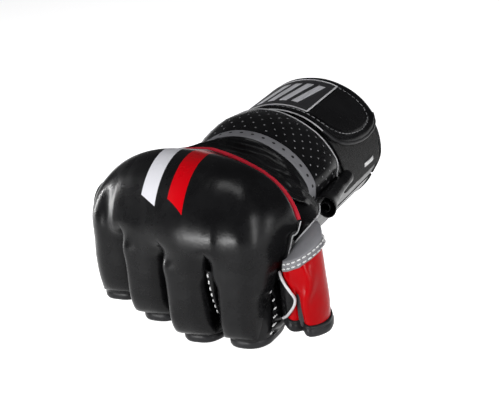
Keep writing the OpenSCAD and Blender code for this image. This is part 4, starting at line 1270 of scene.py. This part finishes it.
def make_flex():
    """The creased sleeve that leads from the round wrist to the wide hand, under the pad's edge."""
    turns = np.linspace(0, 2 * math.pi, FLEX_COLUMNS + 1)[:-1]
    c, s = np.cos(turns), np.sin(turns)
    degrees = np.degrees(turns)
    on_panel = (degrees > PANEL_ANGLES[0]) & (degrees < PANEL_ANGLES[1])
    wrist_r = np.where(on_panel, panel_radius(degrees, BAND_Y[0]) - 0.3, shell_radius(degrees))
    rows = []
    for q in np.linspace(0, 1, FLEX_ROWS):
        e = smooth(q)
        power = lerp(2.0, CROWN_POWER, e)
        x = FLEX_MIDDLE[0] * e + lerp(wrist_r, FLEX_HALF[0], e) * rounded(c, power)
        z = FLEX_MIDDLE[1] * e + lerp(wrist_r, FLEX_HALF[1], e) * rounded(s, power)
        under_pad = knuckle_z + back_rise(x) - FLEX_UNDER
        z = np.where(s > 0, lerp(z, np.minimum(z, under_pad), e * smooth(s * 3)), z)
        at_pad = piping_y(np.minimum(x, FLEX_THUMB_X)) + FLEX_LAP
        far = lerp(BAND_Y[1] - FLEX_PALM, at_pad, smooth((z - FLEX_MIDDLE[1] + 4) / 14))
        rows.append(np.stack([x, lerp(BAND_Y[1] - 0.2, far, q), z], axis=1))
    grid = np.array(rows)
    q = np.linspace(0, 1, FLEX_ROWS)[:, None]
    sway = ripple(grid * PLEAT_STRETCH, size=5, seed=81)
    phase = 2 * math.pi * (FLEX_PLEATS * q + PLEAT_SWAY * sway)
    uneven = 0.65 + 0.5 * ripple(grid, size=16, seed=83)
    depth = FLEX_FOLD * np.sin(np.pi * q) ** 0.5 * uneven
    crease = depth * (1 - 2 * np.abs(np.sin(phase / 2)) ** 0.7)
    crease = crease + WRINKLE * ripple(grid, WRINKLE_SIZE, seed=84) * np.sin(np.pi * q)
    grid = grid + grid_normals(grid, around=True) * crease[..., None]
    sleeve = slab("flex_leather", grid, FLEX_T, creased_leather, around=True)
    bridge(sleeve, ("cuff", "hand"), FLEX_BLEND, "black_leather", "flex_panel")


ROLL_SIZE = 1.5
ROLL_FLARE = 0.65
ROLL_OUT = 3.0
ROLL_LONGER = 3.0
ROLL_T = 0.55
ROLL_ROWS, ROLL_COLUMNS = 24, 60


def make_rolled_edge():
    """The leather lip of the cuff's slit, rolled up like a scroll that opens towards the hand."""
    low, high = box_mm("rolled_slit_edge")
    x, z = (low[0] + high[0]) / 2, (low[2] + high[2]) / 2
    size = (high[0] - low[0]) / 2 * ROLL_SIZE
    rows = []
    turns = np.linspace(math.pi, -2.6 * math.pi, ROLL_COLUMNS)
    for s in np.linspace(0, 1, ROLL_ROWS):
        radius = lerp(size, size * 0.2, np.linspace(0, 1, ROLL_COLUMNS) ** 0.9) * (1 + ROLL_FLARE * s ** 2)
        y = lerp(high[1], low[1], s) - ROLL_LONGER * s ** 3
        rows.append(np.stack([x + ROLL_OUT * s ** 3 + radius * np.cos(turns), 0 * turns + y,
                              z + lerp(2.6, 0.4, s) + radius * np.sin(turns)], axis=1))
    grid = np.array(rows)
    grid = grid + ripple(grid, size=7, seed=91)[..., None] * np.array([0.3, 0, 0.3])
    sew("rolled_edge", grid[:, ::-1], ROLL_T, black_leather, "cuff", "black_leather", "rolled_slit_edge")


for make in (make_cuff, make_back_panel, make_under_panel, make_grey_band, make_rim_line, make_flex,
             make_rolled_edge):
    make()


# The strap: a base sewn round the cuff, and a flap that folds back over it onto the loop field

STRAP_T = 1.5
BASE_T = 1.6
BASE_ROWS, BASE_COLUMNS = 24, 61
BASE_END = 288.0
BASE_THIN = 1.4
BASE_TAPER = 40.0
FOLD_AT = 176.0
LABEL_ANGLES = (66.0, 130.5)
LABEL_Y = (-8.2, -48.8)
LABEL_ROWS, LABEL_COLUMNS = 22, 50
LABEL_LINE_R = 0.5
# Heights over the flap of the label, the line round it, its stripes and the end tab
LABEL_UP, LINE_UP, STRIPE_UP, TAB_UP = 0.55, 0.6, 0.75, 0.5
TAB_ROWS, TAB_COLUMNS = 30, 40
TAB_GAP = 4.5
STRIPE_Y = (-15.0, -42.0)
STRIPE_STARTS = (72.0, 82.0, 92.0, 102.0)
STRIPE_WIDE = 5.5
STRIPE_SLANT = 6.0
STRIPE_T = 0.3
STRIPE_ROWS, STRIPE_COLUMNS = 9, 7
LOOP_ANGLES, LOOP_Y = (-12.0, 72.0), (-5.0, -52.0)
LOOP_SIZE, LOOP_T = 1.6, 0.7
LOOP_ROWS, LOOP_COLUMNS = 26, 50
TAG_ANGLES, TAG_Y = (-4.5, -1.2), (-15.0, -26.0)
TAG_T = 0.4
TAG_CELLS = 8
STRAP_MID = (STRAP_Y[0] + STRAP_Y[1]) / 2
STITCH_IN = 4.6
SEAM_POINTS = 60
FLAP_ROWS, FLAP_COLUMNS = 44, 90
# Height of the roll along the flap's edge, its place and its width, and the same of the stitches' groove
EDGE_ROLL_UP = (0.7, 2.2, 1.7)
SEAM_GROOVE = (0.6, STITCH_IN, 0.7)
STITCH_SINK = 0.25
FLAP_RIM_R = 1.1
EDGE_LINE_R = 0.36
EDGE_LINE_POINTS = 70
HOOK_START = 95.0
HOOK_IN = 3.5
HOOK_ROWS, HOOK_COLUMNS = 24, 60
PATCH_T = 0.6
# The flap's round end: places across the strap, and the angles at which it ends there
TIP_ACROSS = (-54.0, -52.5, -48.5, -42.5, -35.5, -27.5, -19.5, -11.0, -6.0, -3.0)
TIP_ANGLES = (47.0, 37.0, 30.5, 25.8, 22.5, 20.2, 19.2, 20.5, 24.0, 31.0)


def tip_angle(y, inset=0.0):
    """Angle at which the flap's round end lies, for a place across the strap."""
    half = (STRAP_Y[0] - STRAP_Y[1]) / 2
    spread = STRAP_MID + (y - STRAP_MID) * half / (half - inset)
    return float(np.interp(spread, TIP_ACROSS, TIP_ANGLES)) + math.degrees(inset / STRAP_R)


def flap_grid(radius, inset, columns, rows, start=FOLD_AT):
    """Rows across the strap, columns from its round end to the fold."""
    ys = STRAP_MID + (STRAP_Y[0] - STRAP_MID - inset) * np.cos(np.linspace(0, math.pi, rows))
    return np.array([ring(radius, np.linspace(tip_angle(y, inset), start, columns), [y])[0] for y in ys])


def edge_gap(grid):
    """Distance of each point from the flap's edge, in millimetres."""
    angle = np.degrees(np.arctan2(grid[..., 2], grid[..., 0]))
    ends = np.interp(grid[..., 1], TIP_ACROSS, TIP_ANGLES)
    side = (STRAP_Y[0] - STRAP_Y[1]) / 2 - np.abs(grid[..., 1] - STRAP_MID)
    return np.minimum(side, np.radians(angle - ends) * STRAP_R)


def flap_edge(radius, inset):
    """A line along the flap's round end, at a distance inside its edge."""
    ys = STRAP_MID + (STRAP_Y[0] - STRAP_MID - inset) * np.cos(np.linspace(0, math.pi, SEAM_POINTS))
    return np.array([ring(radius, [tip_angle(y, inset)], [y])[0, 0] for y in ys]), ys


def make_strap():
    """The base, the flap with its quilted edge, its stitching and rims, and the hooks under it."""
    angles = np.linspace(FOLD_AT + 0.8, BASE_END, BASE_COLUMNS)
    thin = BASE_THIN * smooth((angles - BASE_END + BASE_TAPER) / BASE_TAPER)
    radius = STRAP_R - PALM_IN * palm_side(angles) - thin
    base = ring(radius[None, :], angles, np.linspace(*STRAP_Y, BASE_ROWS))
    base = crumple(base, size=15, seed=101, depth=0.2)
    sew("strap_wrap", base, BASE_T, black_leather, "cuff", "black_leather", "strap_base")
    grid = flap_grid(STRAP_R, 0, FLAP_COLUMNS, FLAP_ROWS)
    gap = edge_gap(grid)
    roll, groove = (high * np.exp(-((gap - place) / wide) ** 2)
                    for high, place, wide in (EDGE_ROLL_UP, SEAM_GROOVE))
    puff = roll - groove
    grid = grid + grid_normals(grid) * (puff + 0.2 * ripple(grid, size=13, seed=102))[..., None]
    sew("strap_flap", grid, STRAP_T, black_leather, "strap", "black_leather", "strap_tail")
    end, ys = flap_edge(STRAP_R, STITCH_IN)
    far, near = (ring(STRAP_R, np.linspace(FOLD_AT - 4, tip_angle(y, STITCH_IN) + 1, SEAM_POINTS), [y])[0]
                 for y in (ys[0], ys[-1]))
    line = np.concatenate([far, end, near[::-1]])
    outs = unit(line * ROUND_WRIST)
    seam = stitches("strap_flap_stitching", [(line - outs * STITCH_SINK, outs)], grey_thread, step=2.8,
                    length=2.1)
    attach(seam, "strap", "black_leather")
    rim = flap_edge(STRAP_R - 0.5, 0.0)[0][2:-2]
    attach(cord("strap_flap_rim", rim, FLAP_RIM_R, binding_leather), "strap", "black_leather")
    angles = np.linspace(tip_angle(STRAP_Y[1] + 1) + 4, FOLD_AT - 2, EDGE_LINE_POINTS)
    edge = ring(STRAP_R - 0.3, angles, [STRAP_Y[1] - 0.35])[0]
    attach(cord("strap_edge_line", edge, EDGE_LINE_R, raw_edge, sides=8), "strap", "pale_edging")
    hooks = flap_grid(STRAP_R - STRAP_T - 0.1, HOOK_IN, HOOK_COLUMNS, HOOK_ROWS, start=HOOK_START)
    sew("hook_patch", hooks, PATCH_T, hook_nylon, "strap", "hook_and_loop", "hook_tape")


def make_label():
    """A plain satin label with a pale border and four slanted stripes, and the tab at the flap's end."""
    ys = np.linspace(*LABEL_Y, LABEL_ROWS)
    angles = np.linspace(*LABEL_ANGLES, LABEL_COLUMNS)
    sew("label", ring(STRAP_R + LABEL_UP, angles, ys), PATCH_T, label_cloth, "strap", "label_fabric",
        "label_patch")
    frame_r = STRAP_R + LINE_UP
    sides = [ring(frame_r, angles, [LABEL_Y[0]])[0], ring(frame_r, [angles[-1]], ys)[:, 0],
             ring(frame_r, angles[::-1], [LABEL_Y[1]])[0], ring(frame_r, [angles[0]], ys[::-1])[:, 0]]
    line = np.concatenate([s[:-1] for s in sides])
    border = cord("label_line", line, LABEL_LINE_R, raw_edge, sides=8, closed=True, squash=0.5,
                  facing=unit(line * ROUND_WRIST))
    attach(border, "strap", "pale_edging", "label_border")
    for k, start in enumerate(STRIPE_STARTS):
        wide = np.linspace(start, start + STRIPE_WIDE, STRIPE_COLUMNS)
        slants, ys = (np.linspace(*ends, STRIPE_ROWS) for ends in ((0, 1), STRIPE_Y))
        grid = np.array([ring(STRAP_R + STRIPE_UP, wide + STRIPE_SLANT * s, [y])[0]
                         for s, y in zip(slants, ys)])
        sew("label_stripe_%d" % (k + 1), grid, STRIPE_T, silver_yarn, "strap", "label_fabric")
    tab = flap_grid(STRAP_R + TAB_UP, STITCH_IN + 1.2, TAB_COLUMNS, TAB_ROWS, start=LABEL_ANGLES[0] - TAB_GAP)
    sew("flap_end_tab", tab, PATCH_T, black_leather, "strap", "black_leather", "strap_end_tab")


def make_loop_field():
    """The looped pile that the flap closes on, with a blank tag sewn to it."""
    grid = ring(PATCH_R + 0.1, np.linspace(*LOOP_ANGLES, LOOP_COLUMNS), np.linspace(*LOOP_Y, LOOP_ROWS))
    grid = crumple(grid, LOOP_SIZE, seed=105, depth=0.25)
    sew("loop_patch", grid, LOOP_T, loop_pile, "cuff", "hook_and_loop", "loop_field")
    tag = ring(PATCH_R + 0.3, np.linspace(*TAG_ANGLES, TAG_CELLS), np.linspace(*TAG_Y, TAG_CELLS))
    tag = tag + grid_normals(tag) * (0.4 + 0.4 * ripple(tag, size=5, seed=106))[..., None]
    sew("white_tag", tag, TAG_T, tag_cloth, "cuff", "white_tag", "blank_tag")


for make in (make_strap, make_label, make_loop_field):
    make()


# The palm side: leather under the hand that comes up the sides to the pad, its front tape, and the lining

HAND_MIDDLE = (-10.0, 6.9)
HAND_HALF = (44.0, 15.0)
HAND_POWER = 4.0
PALM_TURNS = (math.radians(173), math.radians(367))
PALM_ROWS, PALM_COLUMNS = 16, 90
PALM_OUT = 1.9
PALM_EDGE_OUT = 1.2
PALM_EDGE_R = 1.3
HAND_ROWS, HAND_COLUMNS = 12, 120
HAND_LINING_T = 0.9


def hand_ring(turns, grow, y):
    """A loop round the hand's room, by angle from the thumb side towards the back."""
    c, s = np.cos(turns), np.sin(turns)
    x = HAND_MIDDLE[0] + (HAND_HALF[0] + grow) * rounded(c, HAND_POWER)
    z = HAND_MIDDLE[1] + (HAND_HALF[1] + grow) * rounded(s, HAND_POWER)
    return np.stack([x, y + 0 * x, z], axis=1)


def make_palm():
    low, high = box_mm("palm_panel")
    turns = np.linspace(*PALM_TURNS, PALM_COLUMNS)
    lower = smooth(-np.sin(turns) * 2.2)
    front = lerp(low[1] - 4.0, low[1] + 0.6, lower)
    grid = np.array([hand_ring(turns, PALM_OUT, lerp(high[1] + 2.0, front, q))
                     for q in np.linspace(0, 1, PALM_ROWS)])
    grid = crumple(grid, size=12, seed=111, depth=0.4)
    sew("palm_leather", grid, STALL_T, black_leather, "hand", "black_leather", "palm_panel")
    edge = cord("palm_edge", hand_ring(turns, PALM_EDGE_OUT, front), PALM_EDGE_R, binding_leather, sides=12)
    attach(edge, "hand", "binding_tape", "palm_edge_tape")
    lining_low, lining_high = box_mm("hand_lining")
    around = np.linspace(0, 2 * math.pi, HAND_COLUMNS + 1)[:-1]
    reach = lerp(lining_low[1] + 5.0, lining_low[1], smooth(np.sin(around) * 2 + 0.5))
    inner = np.array([hand_ring(around, -0.2, lerp(lining_high[1], reach, q))
                      for q in np.linspace(0, 1, HAND_ROWS)])
    sew("hand_lining_cloth", inner, HAND_LINING_T, lining_cloth, "hand", "lining_fabric", "hand_lining",
        around=True)


make_palm()


# Stage: white ground, soft lamps, and the camera at the photograph's place

IMAGE_W, IMAGE_H = 500, 400
LOOK_AT = np.array([0.0, -105.5, 0.0])
LOOK_PIXEL = (238.07, 215.77)
CAMERA_AZIMUTH, CAMERA_HEIGHT, CAMERA_ROLL = 27.56, 21.15, 6.7
CAMERA_FAR = 760.0
FOCAL_PIXELS = 1594.5
SENSOR = 36.0
FLOOR_GAP = 14.0
FLOOR_HALF = 4000.0
# Each lamp's place, its width and height, and its watts. The narrow ones give the leather streaks of light.
LAMPS = {"front left softbox": ((-230, -770, 45), (420, 42), 5.8),
         "front right strip": ((590, -450, 190), (26, 620), 4.0),
         "right strip": ((640, -90, 80), (40, 240), 0.8),
         "left strip": ((-600, -60, 120), (26, 300), 2.4),
         "overhead softbox": ((0, -140, 650), (220, 160), 0.8)}


def make_camera():
    a, e, r = (math.radians(v) for v in (CAMERA_AZIMUTH, CAMERA_HEIGHT, CAMERA_ROLL))
    level = np.array([math.cos(a), math.sin(a), 0.0])
    back = np.array([math.sin(a) * math.cos(e), -math.cos(a) * math.cos(e), math.sin(e)])
    above = np.cross(back, level)
    right = level * math.cos(r) - above * math.sin(r)
    up = level * math.sin(r) + above * math.cos(r)
    camera = bpy.data.objects.new("camera", bpy.data.cameras.new("camera"))
    bpy.context.scene.collection.objects.link(camera)
    place = (LOOK_AT + back * CAMERA_FAR) * MM
    matrix = np.eye(4)
    matrix[:3, 0], matrix[:3, 1], matrix[:3, 2], matrix[:3, 3] = right, up, back, place
    camera.matrix_world = Matrix(matrix.tolist())
    camera.data.sensor_width = SENSOR
    camera.data.lens = FOCAL_PIXELS / IMAGE_W * SENSOR
    camera.data.shift_x = (IMAGE_W / 2 - LOOK_PIXEL[0]) / IMAGE_W
    camera.data.shift_y = (LOOK_PIXEL[1] - IMAGE_H / 2) / IMAGE_W
    bpy.context.scene.camera = camera


def make_world():
    world = bpy.data.worlds.new("studio")
    bpy.context.scene.world = world
    world.use_nodes = True
    tree = world.node_tree
    tree.nodes.clear()
    walls = add_node(tree, "Background", Color=hue("#d8d8dc"), Strength=0.12)
    add_node(tree, "OutputWorld", Surface=walls.outputs[0])


def make_floor(height):
    """A white board: white itself where it is looked at, and darker only where the glove shades it."""
    material, tree, place = start_material("white_card")
    paper = add_node(tree, "TexNoise", Vector=place, Scale=per_mm(2.0), Detail=2.0)
    tint = add_node(tree, "Mix", COLOURS, i0=paper.outputs["Fac"], i6=hue("#fbfbfb"), i7=hue("#ffffff"))
    board = add_node(tree, "BsdfDiffuse", Color=tint.outputs[2])
    dim_board = add_node(tree, "BsdfDiffuse", Color=hue("#8c8c8c"))
    glow = add_node(tree, "Emission", Color=(1, 1, 1, 1), Strength=0.75)
    rays = add_node(tree, "LightPath")
    mirrored = add_node(tree, "Math", {"operation": "MAXIMUM"}, i0=rays.outputs["Is Glossy Ray"],
                        i1=rays.outputs["Is Transmission Ray"])
    seen = add_node(tree, "Math", {"operation": "MAXIMUM"}, i0=rays.outputs["Is Camera Ray"],
                    i1=mirrored.outputs[0])
    lit = add_node(tree, "AddShader", i0=board.outputs[0], i1=glow.outputs[0])
    surface = add_node(tree, "MixShader", i0=seen.outputs[0], i1=dim_board.outputs[0], i2=lit.outputs[0])
    add_node(tree, "OutputMaterial", Surface=surface.outputs[0])
    corners = [(x * FLOOR_HALF, y * FLOOR_HALF, height) for x, y in ((-1, -1), (1, -1), (1, 1), (-1, 1))]
    add_mesh("floor", corners, [(0, 1, 2, 3)], material)


def make_lamp(name, place, size, watts):
    lamp = bpy.data.lights.new(name, "AREA")
    lamp.shape = "RECTANGLE"
    lamp.size, lamp.size_y = size[0] * MM, size[1] * MM
    lamp.energy = watts
    thing = bpy.data.objects.new(name, lamp)
    thing.location = Vector(place) * MM
    thing.rotation_mode = "QUATERNION"
    thing.rotation_quaternion = (Vector(LOOK_AT) - Vector(place)).to_track_quat("-Z", "Y")
    bpy.context.scene.collection.objects.link(thing)


make_camera()
make_world()
make_floor(min(box_mm("middle_hem")[0][2], box_mm("thumb_hem")[0][2]) - FLOOR_GAP)
for name, settings in LAMPS.items():
    make_lamp(name, *settings)

bpy.context.scene.view_settings.view_transform = "Standard"
